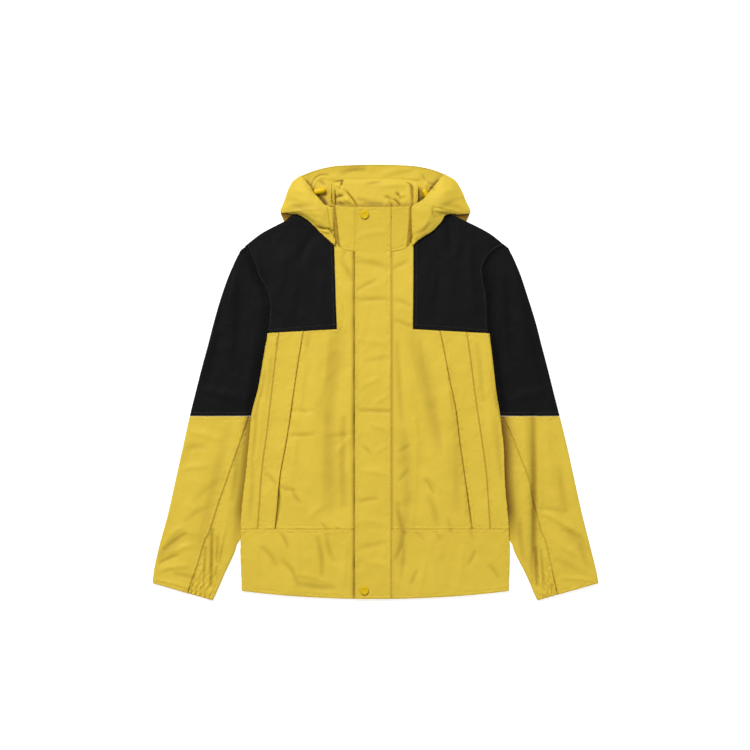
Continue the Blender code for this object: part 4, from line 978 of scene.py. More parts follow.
def pocket_bands():
    """Slanted band of each pocket, whose inner edge stands a little proud."""
    for side, sign in SIGN.items():
        levels = MAIN_LEVELS[::-1]
        outer = edge_of(POCKET_OUTER[side], levels, main_y) - sign * EDGE_INSET
        inner = edge_of(POCKET_INNER[side], levels, main_y) + sign * EDGE_INSET
        shares = spaced(BAND_WIDTH, CELL)
        x = mix(outer[:, None], inner[:, None], shares[None])
        y = clear_ends(main_y(levels[:, None], x), SEAM, -SEAM / 2)
        lift = BAND_LIFT * bell((1 - shares) * BAND_WIDTH, BAND_LIFT_REACH)[None]
        ends = np.clip(np.minimum(levels, 1 - levels) * 20.0, 0.0, 1.0)[:, None]
        grid = layer(x, y, front_height(x, y) + lift * ends)
        cloth("pocket_band_" + side, grid, "yellow_cloth", True, ["back_body"],
              shade=panel_shade(side, grid))


SIDE_EASE = 9.0          # how far from the side fold the front's own height is reached
BACK_EASE = 20.0         # and how far from a fold the back's


def side_turn(zone, level):
    """How far the side fold has closed: not at all at the armhole, wholly from a little below."""
    if zone == "hem":
        return 1.0
    return float(np.interp(level, TURN_LEVELS, [*UNDERARM_TURNS, 1.0]))


def side_fold(side, zone, level, upper, count=9):
    """Quarter round at the body's side, from its edge inwards, on the front or on the back."""
    turn = side_turn(zone, level)
    x, y = on_curve(lambda y: side_x(side, y), lambda x: ZONE_Y[zone](level, x), -100.0)
    x -= SIGN[side] * EDGE_INSET * (1 - turn)
    angles = np.linspace(0.0, math.pi / 2, count)
    inward = 1 - np.cos(angles)
    away = 1 - np.sin(angles)
    step = mix(np.linspace(0.0, 1.0, count), inward, turn) * ROLL
    drop = away * turn * (ROLL - SEAM / 2)
    z = FRONT_TOP - drop if upper else drop
    return x - SIGN[side] * step, np.full(count, float(y)), z


def side_rows(side, zone, levels, end_x, shares):
    """Rows from the side fold to end_x, with the front's height past the fold."""
    rows = []
    for level, end in zip(levels, end_x):
        x0, y0, z0 = side_fold(side, zone, level, True)
        x = mix(x0[-1], end, shares[1:])
        y = ZONE_Y[zone](level, x)
        ease = 1 - bell(np.abs(x - x0[-1]), SIDE_EASE)
        height = mix(FRONT_TOP, front_height(x, y), ease)
        row = layer(np.concatenate([x0, x]), np.concatenate([y0, y]), np.concatenate([z0, height]))
        row[:, 2] -= armhole_drop(row[:, 0], row[:, 1])
        rows.append(row)
    return np.array(rows)


def side_panels():
    """Outer part of each front, from the pocket band to the armhole and the side fold."""
    for side, sign in SIGN.items():
        levels = MAIN_LEVELS[::-1]
        inner = edge_of(POCKET_OUTER[side], levels, main_y) + sign * EDGE_INSET
        grid = side_rows(side, "main", levels, inner, spaced(SIDE_PANEL_WIDTH, CELL))
        grid[0, :, 1] += SEAM
        grid[-1, :, 1] -= SEAM / 2
        cloth("side_panel_" + side, grid[:, ::-1], "yellow_cloth", True, ["back_body"],
              shade=panel_shade(side, grid[:, ::-1]))


def hem_panels():
    """Panel along the hem of each front."""
    for side, sign in SIGN.items():
        centre = CENTRE_SPLIT_X + sign * SEAM / 2
        levels = HEM_LEVELS[::-1]
        grid = side_rows(side, "hem", levels, np.full(len(levels), centre),
                         spaced(HEM_PANEL_WIDTH, CELL))
        grid[..., 2] -= flap_shadow_gap(grid[..., 0], grid[..., 1])
        cloth("hem_panel_" + side, grid[:, ::-1], "yellow_cloth", True, ["back_body"],
              shade=front_shade(side, grid[:, ::-1]))


def back_body():
    """Yellow back, whose sides come half way up the side fold below the underarm."""
    levels = [("main", level) for level in spaced(BACK_LENGTH, BACK_CELL)]
    levels += [("hem", level) for level in spaced(HEM_LENGTH, BACK_CELL)[1:]]
    shares = spaced(BACK_WIDTH, BACK_CELL)[1:-1]
    rows = []
    for zone, level in levels:
        left, right = (layer(*side_fold(side, zone, level, False)) for side in SIGN)
        x = mix(left[-1, 0], right[-1, 0], shares)
        y = ZONE_Y[zone](level, x)
        ease = ramp(np.minimum(x - left[-1, 0], right[-1, 0] - x), BACK_EASE)
        rows.append(np.concatenate([left, layer(x, y, back_height(x, y) * ease), right[::-1]]))
    grid = np.array(rows)
    grid[0, :, 1] -= SEAM / 2
    cloth("back_body", grid, "yellow_cloth", False, ["floor"], column=grid.shape[1] // 2)


# --------------------------------------------------------------------------- pieces: the sleeves
def tube_side(start, fold, from_share, steps, height, under_inset=0.0):
    """Half of a flat tube in one row: along the upper face from from_share of the way between
    start and fold, round the fold, and back along the lower face, which ends under_inset short."""
    top_shares, under_shares = steps
    length = math.hypot(fold[0] - start[0], fold[1] - start[1])
    roll_share = ROLL / length

    def across(share):
        return [mix(a, b, share) for a, b in zip(start, fold)]

    share = mix(from_share, 1 - roll_share, top_shares[:-1])
    x, y = across(share)
    top = layer(x, y, mix(FRONT_TOP, height(x, y), ramp((1 - share) * length, 4 * ROLL)))
    inward, up = roll_steps(ROLL_STEPS)
    roll = layer(*across(1 - inward * roll_share), up * ROLL)
    share = mix(1 - roll_share, from_share + under_inset / length, under_shares[1:])
    x, y = across(share)
    under = layer(x, y, back_height(x, y) * ramp((1 - share) * length, BACK_EASE))
    return np.concatenate([top, roll, under])


def tuck(side, grid):
    """Flattens a sleeve where the body's edge lies against it."""
    inward = np.maximum(SIGN[side] * (grid[..., 0] - side_x(side, grid[..., 1])), 0.0)
    depth = SLEEVE_TUCK[side] / FRONT_TOP * bell(inward, TUCK_REACH[side])
    depth *= np.clip((YOKE_SEAM_Y - grid[..., 1]) / TUCK_FADE, TUCK_LEAST, 1.0)
    flat = grid[..., 2] * (1 - depth)
    upper = grid[..., 2] > FRONT_TOP / 2
    grid[..., 2] = np.where(upper, np.maximum(flat, TUCK_LOWEST), flat)
    return grid


def upper_sleeves():
    """Black upper sleeve: one piece from the armhole round the outer fold to the back."""
    for side, sign in SIGN.items():
        top_y = armhole_end(side, ROLL)[1] + TOP_OVERLAP
        line = mix(ARMPIT_Y + SEAM, top_y, spaced(top_y - ARMPIT_Y, CELL))
        steps = [spaced(UPPER_SLEEVE_WIDTH, cell) for cell in (CELL, BACK_CELL)]
        rows = []
        for y in line:
            drop = HEAD_SLANT * max(0.0, (y - HEAD_SLANT_FROM_Y) / 100.0)**2
            outer_y = y - drop
            fold = (float(x_on(SLEEVE_FOLD[side], outer_y)), outer_y)
            start = (float(side_x(side, y)) - sign * HEAD_UNDER, y)
            rows.append(tube_side(start, fold, 0.0, steps, sleeve_height, HEAD_UNDER + SEAM))
        grid = tuck(side, np.array(rows))
        cloth("sleeve_upper_" + side, grid, "black_cloth", True, ["floor"],
              shade=sleeve_shade(side, grid))


GATHER_WAVES = 12.0      # gather waves over the whole width of a cuff
GATHER_REACH = 70.0      # how far up the sleeve the gathers fade
GATHER_DEPTH = 2.0


def lower_sleeves():
    """Yellow lower sleeve: an outer and an inner piece, sewn along the front and the back."""
    for side, sign in SIGN.items():
        parts = {"sleeve_outer_": [], "sleeve_inner_": []}
        seams = []
        steps = [spaced(LOWER_SLEEVE_WIDTH, cell) for cell in (SLEEVE_CELL, BACK_CELL)]
        for share in spaced(LOWER_SLEEVE_LENGTH, SLEEVE_CELL):
            inner_x, inner_y, outer_y, seam = section(LOWER_SLEEVE[side], share)
            inner_x -= sign * TUCK_UNDER * float(ramp(inner_y - TUCK_END_Y, 12.0))
            inner = (inner_x, inner_y)
            outer = (float(x_on(SLEEVE_FOLD[side], outer_y)), outer_y)
            length = math.hypot(outer[0] - inner[0], outer[1] - inner[1])
            gap = EDGE_INSET / length
            left = (1 - share) * LOWER_SLEEVE_LENGTH
            seams.append(mix(inner[0], outer[0], seam))

            def gathered(x, y):
                width = np.hypot(x - inner[0], y - inner[1]) / length
                drift = 0.35 * noise_at(width * 40.0, np.full(np.shape(width), left), 9.0, 2.2)
                wave = np.cos(2 * math.pi * (GATHER_WAVES * width + drift))
                reach = max(0.0, 1 - left / GATHER_REACH)**1.3
                return sleeve_height(x, y) + GATHER_DEPTH * reach * wave

            parts["sleeve_outer_"].append(tube_side(inner, outer, seam + gap, steps, sleeve_height))
            parts["sleeve_inner_"].append(tube_side(outer, inner, 1 - seam + gap, steps, gathered))
        for name, rows in parts.items():
            grid = tuck(side, np.array(rows))
            line = bell(grid[..., 0] - np.array(seams)[:, None], 1.5)
            cloth(name + side, grid, "yellow_cloth", True, ["floor"],
                  shade=sleeve_shade(side, grid) + SLEEVE_SEAM_SHADE[side] * line)


# ----------------------------------------------------------- pieces: collar, storm flap and hood
def collar_fronts():
    """Front walls of the collar, which meet under the storm flap."""
    shares = spaced(COLLAR_FRONT_WIDTH, CELL)**1.2
    for side, seam in COLLAR_SEAM.items():
        rows = []
        for level in spaced(COLLAR_LENGTH, CELL):
            middle = collar_across(level, CENTRE_SPLIT_X + SIGN[side] * SEAM / 2)
            row = collar_point(level, mix(mix(*seam, level), middle, shares), 1.0)
            row[:, 2] += crinkle(row[:, 0], row[:, 1], 60.0) * math.sin(math.pi * level)
            rows.append(row)
        grid = np.array(rows)
        grid[0] += (0.0, -1.0, -0.5)
        cloth("collar_front_" + side, grid, "yellow_cloth", True, ["front_" + side])


COLLAR_STEPS = 210       # grid lines round the collar's sides and back
SIDE_FULLNESS = 0.4      # below 1: the collar's sides stay high before they come down to the back
COLLAR_PUFF = 2.2        # how far the back wall stands off the hood's back
COLLAR_LEAST = -0.7      # lowest that its creases go
NO_SEAM = 20.0           # distance given to the points of a border with no seam
NECK_SHADE_Y = 326.0     # painted shade inside the collar grows below this height


def collar_back():
    """Sides and back wall of the collar in one piece."""
    rows, edges = [], []
    for level in spaced(COLLAR_LENGTH, HEAD_CELL):
        row = collar_row(level)
        bend = row["squareness"]
        gap = 2 * 2 * EDGE_INSET / (row["right"] - row["left"])
        start = math.acos((-mix(*COLLAR_SEAM["l"], level) + gap)**(bend / 2))
        end = math.acos((mix(*COLLAR_SEAM["r"], level) + gap)**(bend / 2))
        angle = np.linspace(math.pi - start, 2 * math.pi + end, COLLAR_STEPS + 1)
        across = np.copysign(np.abs(np.cos(angle))**(2 / bend), np.cos(angle))
        points = collar_point(level, across, np.copysign(1.0, np.sin(angle)))
        rise = (points[:, 2] - row["back_z"]) / (row["front_z"] - row["back_z"])
        full = np.where(rise > 0.5, np.maximum(rise, 0.5)**SIDE_FULLNESS,
                        rise * 2 * 0.5**SIDE_FULLNESS)
        points[:, 2] = mix(row["back_z"], row["front_z"], full)
        lift = CREASE_DEPTH * fold_height(COLLAR_CREASES, points[:, 0], points[:, 1])
        lift += crinkle(points[:, 0], points[:, 1], 65.0)
        inside = np.clip(-np.sin(angle), 0.0, 1.0)
        sunk = ramp(1.0 - level, 0.12)
        points[:, 2] += np.maximum(lift + COLLAR_PUFF, COLLAR_LEAST) * inside**1.5 * sunk
        rows.append(points)
        edges.append(NO_SEAM * inside * (level > 0.8))
    rows.insert(0, neckline(rows[0]))
    edges.insert(0, edges[0])
    grid = np.array(rows)
    shade = NECK_SHADE * ramp(NECK_SHADE_Y - grid[..., 1], 12.0)
    shade += COLLAR_TROUGH_SHADE * trough(COLLAR_CREASES, grid[..., 0], grid[..., 1])
    cloth("collar_back", grid, "yellow_cloth", True, ["hood_back"], smooth_edge=np.array(edges),
          shade=shade)


NECK_MIDDLE_Y = 280.0
NECK_SPREAD = 12.0       # how far the neck edge is spread out inside the jacket
NECK_SPREAD_DROP = 1.5   # how much it comes down on the way
NECK_SPREAD_HEIGHTS = (1.3, 3.6)     # lowest and highest that it then lies


def neckline(row):
    """Neck edge of the collar's back wall, spread out inside the jacket."""
    middle = np.array((mix(COLLAR["left"][0], COLLAR["right"][0], 0.5), NECK_MIDDLE_Y))
    way = row[:, :2] - middle
    edge = row.copy()
    edge[:, :2] += way * (NECK_SPREAD / np.linalg.norm(way, axis=1))[:, None]
    edge[:, 2] = np.clip(edge[:, 2] - NECK_SPREAD_DROP, *NECK_SPREAD_HEIGHTS)
    return edge


FLAP_LIFT = 1.5          # how far the storm flap's free edge lifts
FLAP_LIFT_REACH = 8.0


def flap_height(x, y):
    """How far the storm flap rises over the front: its free edge lifts and its face creases."""
    x, y = np.broadcast_arrays(x, y)
    free = FLAP_LIFT + 0.9 * noise_at(np.zeros(y.shape), y, 45.0, 4.4)
    lift = free * np.exp(-(x - FLAP_LEFT_X) / FLAP_LIFT_REACH)
    return lift + CREASE_DEPTH * fold_height(FLAP_CREASES, x, y)


def storm_flap():
    """Storm flap from the collar's top edge to the hem, on the fronts' points moved out."""
    columns = mix(FLAP_LEFT_X, FLAP_RIGHT_X, spaced(FLAP_RIGHT_X - FLAP_LEFT_X, CELL))
    rows = []
    for level in spaced(COLLAR_LENGTH, CELL)[::-1]:
        row = collar_point(level, collar_across(level, columns), 1.0)
        row[:, 0] = columns
        row[:, 2] += LAYER + flap_height(columns, row[:, 1])
        rows.append(row)
    neck = rows[-1][0, 1]
    for share in even(round((neck - HEM_SEAM_Y) / CELL))[1:]:
        y = np.full(len(columns), mix(neck, HEM_SEAM_Y, share))
        blend = min(1.0, share * 25.0)
        height = mix(FRONT_TOP, front_height(columns, y), blend)
        rows.append(layer(columns, y, height + LAYER + flap_height(columns, y)))
    for level in HEM_LEVELS[1:]:
        y = lower_y(level, columns)
        rows.append(layer(columns, y, front_height(columns, y) + LAYER + flap_height(columns, y)))
    grid = np.array(rows)
    cloth("storm_flap", grid, "yellow_cloth", True, ["front_l", "front_r"], rim_reach=0.0,
          shade=CREASE_SHADE * trough(FLAP_CREASES, grid[..., 0], grid[..., 1]))


COLLAR_MIDDLE_X = -3.0   # middle of the collar's top edge
COLLAR_TOP_HALF = 88.0   # half the width that the collar covers
COLLAR_TOP_Y = 364.0     # top edge of the collar's back wall
UNDER_COLLAR_Y = 340.0   # the hood's back lies plain below this, under the collar


def hood_back():
    """Back of the hood, laid on the surface with its inner face up, from the neck to the brim."""
    xs = np.unique(np.concatenate([HOOD_BACK_TOP["x"], np.linspace(-150.0, 150.0, 140)]))
    top = smooth(HOOD_BACK_TOP, "x", "y", xs)
    low = shoulder_y(xs) + 2 * SEAM
    shares = spaced(HOOD_BACK_LENGTH, HEAD_CELL)
    y = mix(low[:, None], top[:, None], shares[None])
    x = np.repeat(xs[:, None], len(shares), 1)
    lift = np.maximum(0.0, (y - BRIM_RISE_FROM_Y) / (max(HOOD_BACK_TOP["y"]) - BRIM_RISE_FROM_Y))
    from_middle = np.abs(x - COLLAR_MIDDLE_X)
    beside = ramp(from_middle - COLLAR_TOP_HALF + 2.0, 6.0)
    free = np.maximum(ramp(y - UNDER_COLLAR_Y, 8.0), beside * ramp(y - UNDER_COLLAR_Y + 30.0, 8.0))
    free = free * ramp(132.0 - np.abs(x), 14.0)
    relief = 0.5 + CREASE_DEPTH * fold_height(HOOD_CREASES, x, y) + crinkle(x, y, 70.0)
    relief = np.maximum(relief, 0.0) * free
    wall = ramp(y - COLLAR_TOP_Y, 3.0) * ramp(COLLAR_TOP_HALF - from_middle, 8.0)
    height = np.maximum(BRIM_RISE * lift + relief, WALL_STEP * wall)
    low_corner = LOW_CORNER_SHADE * beside * ramp(UNDER_COLLAR_Y - y, 16.0)
    shade = low_corner + rim_shadow(x, y) + HOOD_TROUGH_SHADE * trough(HOOD_CREASES, x, y)
    cloth("hood_back", layer(x, y, height), "yellow_cloth", False, ["floor"], shade=shade,
          stitched=False)


RIM_SHADE = 0.9          # painted shadow on the hood's back under the front edge of a hood side
RIM_SHADE_REACH = 5.0
RIM_SHADE_ROWS = range(1, 7)     # rows of a hood side whose front edge lies over the hood's back


def rim_shadow(x, y):
    """Shade of the hood's back beside the front edges of the hood's sides."""
    total = np.zeros(np.shape(x))
    for side in SIGN:
        edge = HOOD_SIDE[side]
        for i in RIM_SHADE_ROWS:
            for share in even(6)[:-1]:
                at_x, at_y = (mix(edge[name][i], edge[name][i + 1], share)
                              for name in ("rim_x", "rim_y"))
                near = bell(np.hypot(x - at_x, y - at_y), RIM_SHADE_REACH)
                total = np.maximum(total, near)
    return RIM_SHADE * total


RIM_LINES = 8            # grid lines of a hood side along its front edge and facing


def hood_sides():
    """Sides of the hood, folded over along the outline and lying on the shoulders."""
    for side in SIGN:
        grid = np.array([hood_section(*section(HOOD_SIDE[side], share))
                         for share in spaced(HOOD_SIDE_LENGTH, HEAD_CELL)])
        rim = np.zeros(grid.shape[:2])
        rim[:, -RIM_LINES:] = NO_SEAM
        cloth("hood_side_" + side, grid, "yellow_cloth", False,
              ["front_yoke_" + side, "hood_back"], with_pieces=[hood_tip(side)], smooth_edge=rim,
              shade=CREASE_SHADE * trough(HOOD_CREASES, grid[..., 0], grid[..., 1]))


def hood_tip(side):
    """Inner face of the hood's lower hem, which shows under the tip."""
    shares = even(8)
    bulge = np.sin(math.pi * shares)
    lines = [np.interp(shares, (0.0, 0.5, 1.0), values) for values in HOOD_TIP[side].values()]
    top, bottom = np.stack(lines[:3], -1), np.stack(lines[3:], -1)
    grid = np.array([mix(top, bottom, share) for share in even(5)])
    grid[..., 2] += 0.5 * bulge[None] + 0.3 * crinkle(grid[..., 0] * 3, grid[..., 1] * 3, 90.0)
    # painted shade of the hem's underside: darkest under the fold above it, lighter at its free
    # edge
    shade = np.repeat(mix(1.3, 0.55, even(5))[:, None], len(shares), 1)
    return shell("hood_tip_" + side, grid, "yellow_cloth", True, stitched=False, shade=shade)


def hood_section(fold_x, fold_y, rim_x, rim_y, base, rim_z, bulge, hem):
    """Section of a hood side: hem turned under, fold, and the face up to the front edge."""
    width = math.hypot(rim_x - fold_x, rim_y - fold_y)
    radius = HOOD_FOLD_RADIUS
    inward, up = roll_steps(HOOD_ROLL_STEPS)
    under = np.linspace(hem, radius, 4)[:-1]
    share = spaced(HOOD_SIDE_WIDTH, HEAD_CELL)[1:]
    along = np.concatenate([under, inward[::-1] * radius, mix(radius, width, share)])
    z = np.concatenate([np.full(len(under), base), base + up[::-1] * radius,
                        mix(base + 2 * radius, rim_z, share) + bulge * np.sin(math.pi * share)])
    x = mix(fold_x, rim_x, along / width)
    y = mix(fold_y, rim_y, along / width)
    face = np.clip((along / width - 0.08) * 6, 0.0, 1.0)
    face *= np.arange(len(along)) > len(under) + HOOD_ROLL_STEPS
    z += face * (CREASE_DEPTH * fold_height(HOOD_CREASES, x, y) + crinkle(x, y, 80.0))
    return np.concatenate([layer(x, y, z), facing(x[-1], y[-1], z[-1])])


# Facing, from the front edge: share of its width, and how far it lies below that edge where it
# goes back under it, and beside the collar.
FACING = table("share under beside", [
    (0.05, 0.6, 1.6), (0.12, 1.2, 2.6), (0.30, 2.0, 1.2), (0.60, 2.6, 1.0), (0.85, 3.0, 2.0),
    (1.0, 3.2, 6.0)])


FACING_WIDTH = 5.0       # how far it goes back under the front edge
FACING_TURN_Y = 321.0    # it comes down beside the collar below this height


def facing(rim_x, rim_y, rim_z):
    """Turned-in facing of the hood's front edge: it comes down to the collar at the neck, and
    goes back under the edge above it."""
    sign = math.copysign(1.0, rim_x)
    wall = COLLAR["left"][0] if sign < 0 else COLLAR["right"][0]
    beside = float(ramp(FACING_TURN_Y - rim_y, 8.0))
    end_x = mix(rim_x + sign * FACING_WIDTH, wall + sign * 0.5, beside)
    share, under, low = (np.array(values) for values in FACING.values())
    return layer(mix(rim_x, end_x, share), rim_y, rim_z - mix(under, low, beside))


# ------------------------------------------------------------------------------ pieces: hardware
def turned(name, profile, steps, place, look):
    """Solid of revolution about Z from (radius, height) pairs, set in its place."""
    work = bmesh.new()
    verts = [work.verts.new((radius * MM, 0.0, height * MM)) for radius, height in profile]
    edges = [work.edges.new(pair) for pair in zip(verts, verts[1:])]
    bmesh.ops.spin(work, geom=verts + edges, cent=(0, 0, 0), axis=(0, 0, 1), angle=2 * math.pi,
                   steps=steps, use_merge=True)
    bmesh.ops.remove_doubles(work, verts=work.verts[:], dist=0.000005)
    bmesh.ops.recalc_face_normals(work, faces=work.faces[:])
    mesh = bpy.data.meshes.new(name)
    work.to_mesh(mesh)
    work.free()
    mesh.transform(place)
    mesh.shade_smooth()
    mesh.set_sharp_from_angle(angle=math.radians(40.0))
    mesh.materials.append(LOOKS[look])
    piece = placed(name, mesh)
    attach(piece, "root")
    return piece


def arc(centre, radius, start, end, count):
    """Points of a round edge in a profile, angles in degrees."""
    angles = np.radians(np.linspace(start, end, count))
    return [(centre[0] + radius * math.cos(a), centre[1] + radius * math.sin(a)) for a in angles]


# Dished face of a snap cap, as shares of its radius and height.
SNAP_FACE = table("radius height", [(0.0, 0.86), (0.3, 0.87), (0.50, 0.90), (0.56, 0.97),
                                    (0.66, 1.0)])
SNAP_ROUND = 1.4         # round of its rim
SNAP_ROUND_BELOW = 1.5   # how far the round's middle lies below the top
SNAP_FOOT_INSET = 0.9


def snaps():
    """Round snap caps: a rolled rim round a shallow dished centre."""
    radius = SNAP_DIAMETER / 2
    profile = [(radius * out, SNAP_HEIGHT * up) for out, up in zip(*SNAP_FACE.values())]
    profile += arc((radius - SNAP_ROUND, SNAP_HEIGHT - SNAP_ROUND_BELOW), SNAP_ROUND,
                   78.0, -60.0, 10)
    profile += [(radius - SNAP_FOOT_INSET, 0.0), (0.0, 0.0)]
    (neck, top), (neck_z, top_z) = COLLAR["front_y"], COLLAR["front_z"]
    for name, (x, y) in SNAPS.items():
        if y > neck:
            level = (y - neck) / (top - neck)
            seat = collar_point(level, collar_across(level, x), 1.0)[2] + LAYER
            slope = math.atan2(top_z - neck_z, top - neck)
        else:
            seat = FRONT_TOP + fold_height(FRONT_FOLDS, x, y) + LAYER
            slope = 0.0
        place = (Matrix.Translation(Vector((x, y, float(seat) + 2 * SEAM)) * MM)
                 @ Matrix.Rotation(slope, 4, "X"))
        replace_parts(turned(name + "_cap", profile, 48, place, "snap_enamel"), name)


TOGGLE_ROUND = 2.2       # round of a stopper's ends
TOGGLE_HOLE = 1.2        # radius of the flat middle of an end
TOGGLE_END = 0.45        # where an end's round starts, as a share of the radius
TOGGLE_BARREL = 0.66     # share of the length that the barrel takes
TOGGLE_BULGE = 0.35      # how much the barrel narrows to its ends
GROOVE_AT = 0.42         # place of its two grooves, as a share of half its length
GROOVE_DEPTH = 0.55
GROOVE_WIDTH = 0.05      # half its width, as the same share
TOGGLE_TURN = {"cord_toggle_l": 12.0, "cord_toggle_r": -60.0}    # turn to the left, in degrees


def toggles():
    """Barrel-shaped cord stoppers with two grooves and a rounded end on each side."""
    half = TOGGLE_LENGTH / 2
    radius = TOGGLE_DIAMETER / 2
    end = radius * TOGGLE_END
    profile = [(0.0, -half), (TOGGLE_HOLE, -half)]
    profile += arc((end, -half + TOGGLE_ROUND), TOGGLE_ROUND, -80.0, -15.0, 6)
    for step in np.linspace(-TOGGLE_BARREL, TOGGLE_BARREL, 23):
        groove = GROOVE_DEPTH * sum(bell(step - at, GROOVE_WIDTH) for at in (GROOVE_AT, -GROOVE_AT))
        profile.append((radius * math.sqrt(1 - TOGGLE_BULGE * step**2) - groove, step * half))
    profile += arc((end, half - TOGGLE_ROUND), TOGGLE_ROUND, 15.0, 80.0, 6)
    profile += [(TOGGLE_HOLE, half), (0.0, half)]
    for name, (x, y) in TOGGLES.items():
        turn = math.radians(TOGGLE_TURN[name])
        place = (Matrix.Translation(Vector((x, y, LAYER + TOGGLE_DIAMETER / 2)) * MM)
                 @ Matrix.Rotation(turn, 4, "Z") @ Matrix.Rotation(math.pi / 2, 4, "Y"))
        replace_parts(turned(name + "_barrel", profile, 40, place, "toggle_plastic"), name)


# -------------------------------------------------------------------------------- nodes of a tree
def put(tree, socket, value):
    """Gives a socket a constant, or links it to another socket."""
    if isinstance(value, bpy.types.NodeSocket):
        tree.links.new(value, socket)
    else:
        socket.default_value = value


def add(tree, kind, **settings):
    """New node.  Each setting is an input, with a constant or a socket to link, or else one of its
    properties.  Spaces in an input's name are given as underscores."""
    node = tree.nodes.new(kind)
    for name, value in settings.items():
        title = name.replace("_", " ")
        if title in node.inputs:
            put(tree, node.inputs[title], value)
        else:
            setattr(node, name, value)
    return node


def maths(tree, operation, *values):
    """Math node on numbers or sockets."""
    node = add(tree, "ShaderNodeMath", operation=operation)
    for socket, value in zip(node.inputs, values):
        put(tree, socket, value)
    return node.outputs["Value"]


# --------------------------------------------------------------------------------------- stitches
STITCH_PITCH = 3.6
STITCH_LENGTH = 2.7
STITCH_WIDTH = 0.85
STITCH_UNEVEN = (0.86, 1.08)     # shortest and longest stitch, as a share of the length
STITCH_SEED = 5
NEAR = EDGE_STEPS.index(4.8) + 2     # grid line of the topstitches beside a piece's first edge
FAR = -NEAR - 1                      # and beside its last edge
SIDE_LINE = -12                      # grid line at the inner end of a side fold
FLAP_SEAM_STITCHES = (6.5, 11.2)     # how far the two rows beside the storm flap stand from it


def stitch_tree():
    """Geometry Nodes group that lays short raised stitches along lines."""
    tree = bpy.data.node_groups.new("Stitch row", "GeometryNodeTree")
    face = tree.interface
    face.new_socket("Lines", in_out="INPUT", socket_type="NodeSocketGeometry")
    for name, value in (("Pitch", STITCH_PITCH), ("Stitch length", STITCH_LENGTH),
                        ("Thread width", STITCH_WIDTH)):
        socket = face.new_socket(name, in_out="INPUT", socket_type="NodeSocketFloat")
        socket.default_value = value * MM
    face.new_socket("Thread", in_out="INPUT", socket_type="NodeSocketMaterial")
    face.new_socket("Stitches", in_out="OUTPUT", socket_type="NodeSocketGeometry")
    given = add(tree, "NodeGroupInput").outputs
    result = add(tree, "NodeGroupOutput").inputs
    curve = add(tree, "GeometryNodeMeshToCurve", Mesh=given["Lines"])
    points = add(tree, "GeometryNodeCurveToPoints", mode="LENGTH", Curve=curve.outputs["Curve"],
                 Length=given["Pitch"])
    align = add(tree, "FunctionNodeAlignRotationToVector", axis="X",
                Vector=points.outputs["Tangent"])
    bead = add(tree, "GeometryNodeMeshUVSphere", Segments=6, Rings=4, Radius=0.5)
    uneven = add(tree, "FunctionNodeRandomValue", data_type="FLOAT", Seed=STITCH_SEED)
    for socket, value in zip([socket for socket in uneven.inputs if socket.enabled],
                             STITCH_UNEVEN):
        socket.default_value = value
    drawn = [socket for socket in uneven.outputs if socket.enabled][0]
    size = add(tree, "ShaderNodeCombineXYZ", X=maths(tree, "MULTIPLY", drawn,
                                                     given["Stitch length"]),
               Y=given["Thread width"], Z=given["Thread width"])
    place = add(tree, "GeometryNodeInstanceOnPoints", Points=points.outputs["Points"],
                Instance=bead.outputs["Mesh"], Rotation=align.outputs["Rotation"],
                Scale=size.outputs["Vector"])
    solid = add(tree, "GeometryNodeRealizeInstances", Geometry=place.outputs["Instances"])
    paint = add(tree, "GeometryNodeSetMaterial", Geometry=solid.outputs["Geometry"],
                Material=given["Thread"])
    put(tree, result["Stitches"], paint.outputs["Geometry"])
    return tree


def sew(name, lines, look, tree):
    """One piece of all the stitches along the lines, each a row of points in millimetres."""
    verts, edges = [], []
    for line in lines:
        first = len(verts)
        line = np.array(line)
        line[:, 2] = np.maximum(line[:, 2], STITCH_WIDTH / 2)
        verts += (line * MM).tolist()
        edges += [(i, i + 1) for i in range(first, len(verts) - 1)]
    mesh = bpy.data.meshes.new(name)
    mesh.from_pydata(verts, edges, [])
    draft = placed(name + "_draft", mesh)
    rows = draft.modifiers.new("Stitch row", "NODES")
    rows.node_group = tree
    for item in tree.interface.items_tree:
        if item.name == "Thread":
            rows[item.identifier] = LOOKS[look]
    piece = plain_mesh(draft, name)
    piece.data.shade_smooth()
    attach(piece, "root")


def column_at(node, x):
    """Line up a piece's grid at a given x."""
    line = []
    for row in GRIDS[node]:
        row = row if row[0, 0] < row[-1, 0] else row[::-1]
        line.append([np.interp(x, row[:, 0], row[:, i]) for i in range(3)])
    return np.array(line)


def above(line, y):
    return line[line[:, 1] > y]


def body_lines():
    """Topstitches of the body, on the yellow cloth."""
    lines = []
    for side in SIGN:
        front, hem = GRIDS["front_" + side], GRIDS["hem_panel_" + side]
        band, panel = GRIDS["pocket_band_" + side], GRIDS["side_panel_" + side]
        under_yoke = front[len(MAIN_LEVELS) - NEAR - 1]
        lines += [under_yoke[np.abs(under_yoke[:, 0]) > 74.0], band[FAR], panel[FAR]]
        lines += [band[NEAR:FAR, FAR], band[NEAR:FAR, NEAR], panel[NEAR:FAR, NEAR]]
        lines += [hem[NEAR], hem[FAR], hem[NEAR:FAR, SIDE_LINE]]
        lines.append(above(panel[:, SIDE_LINE], ARMPIT_Y + 10.0))
    for away in FLAP_SEAM_STITCHES:
        lines.append(column_at("front_r", FLAP_RIGHT_X + away)[:FAR])
        lines.append(column_at("hem_panel_r", FLAP_RIGHT_X + away)[NEAR:])
    back, flap = GRIDS["back_body"], GRIDS["storm_flap"]
    lines += [back[NEAR], back[FAR]]
    lines += [flap[NEAR:FAR, NEAR], flap[NEAR, NEAR:FAR], flap[FAR, NEAR:FAR]]
    lines.append(above(flap[NEAR:, FAR], 60.0))
    return lines


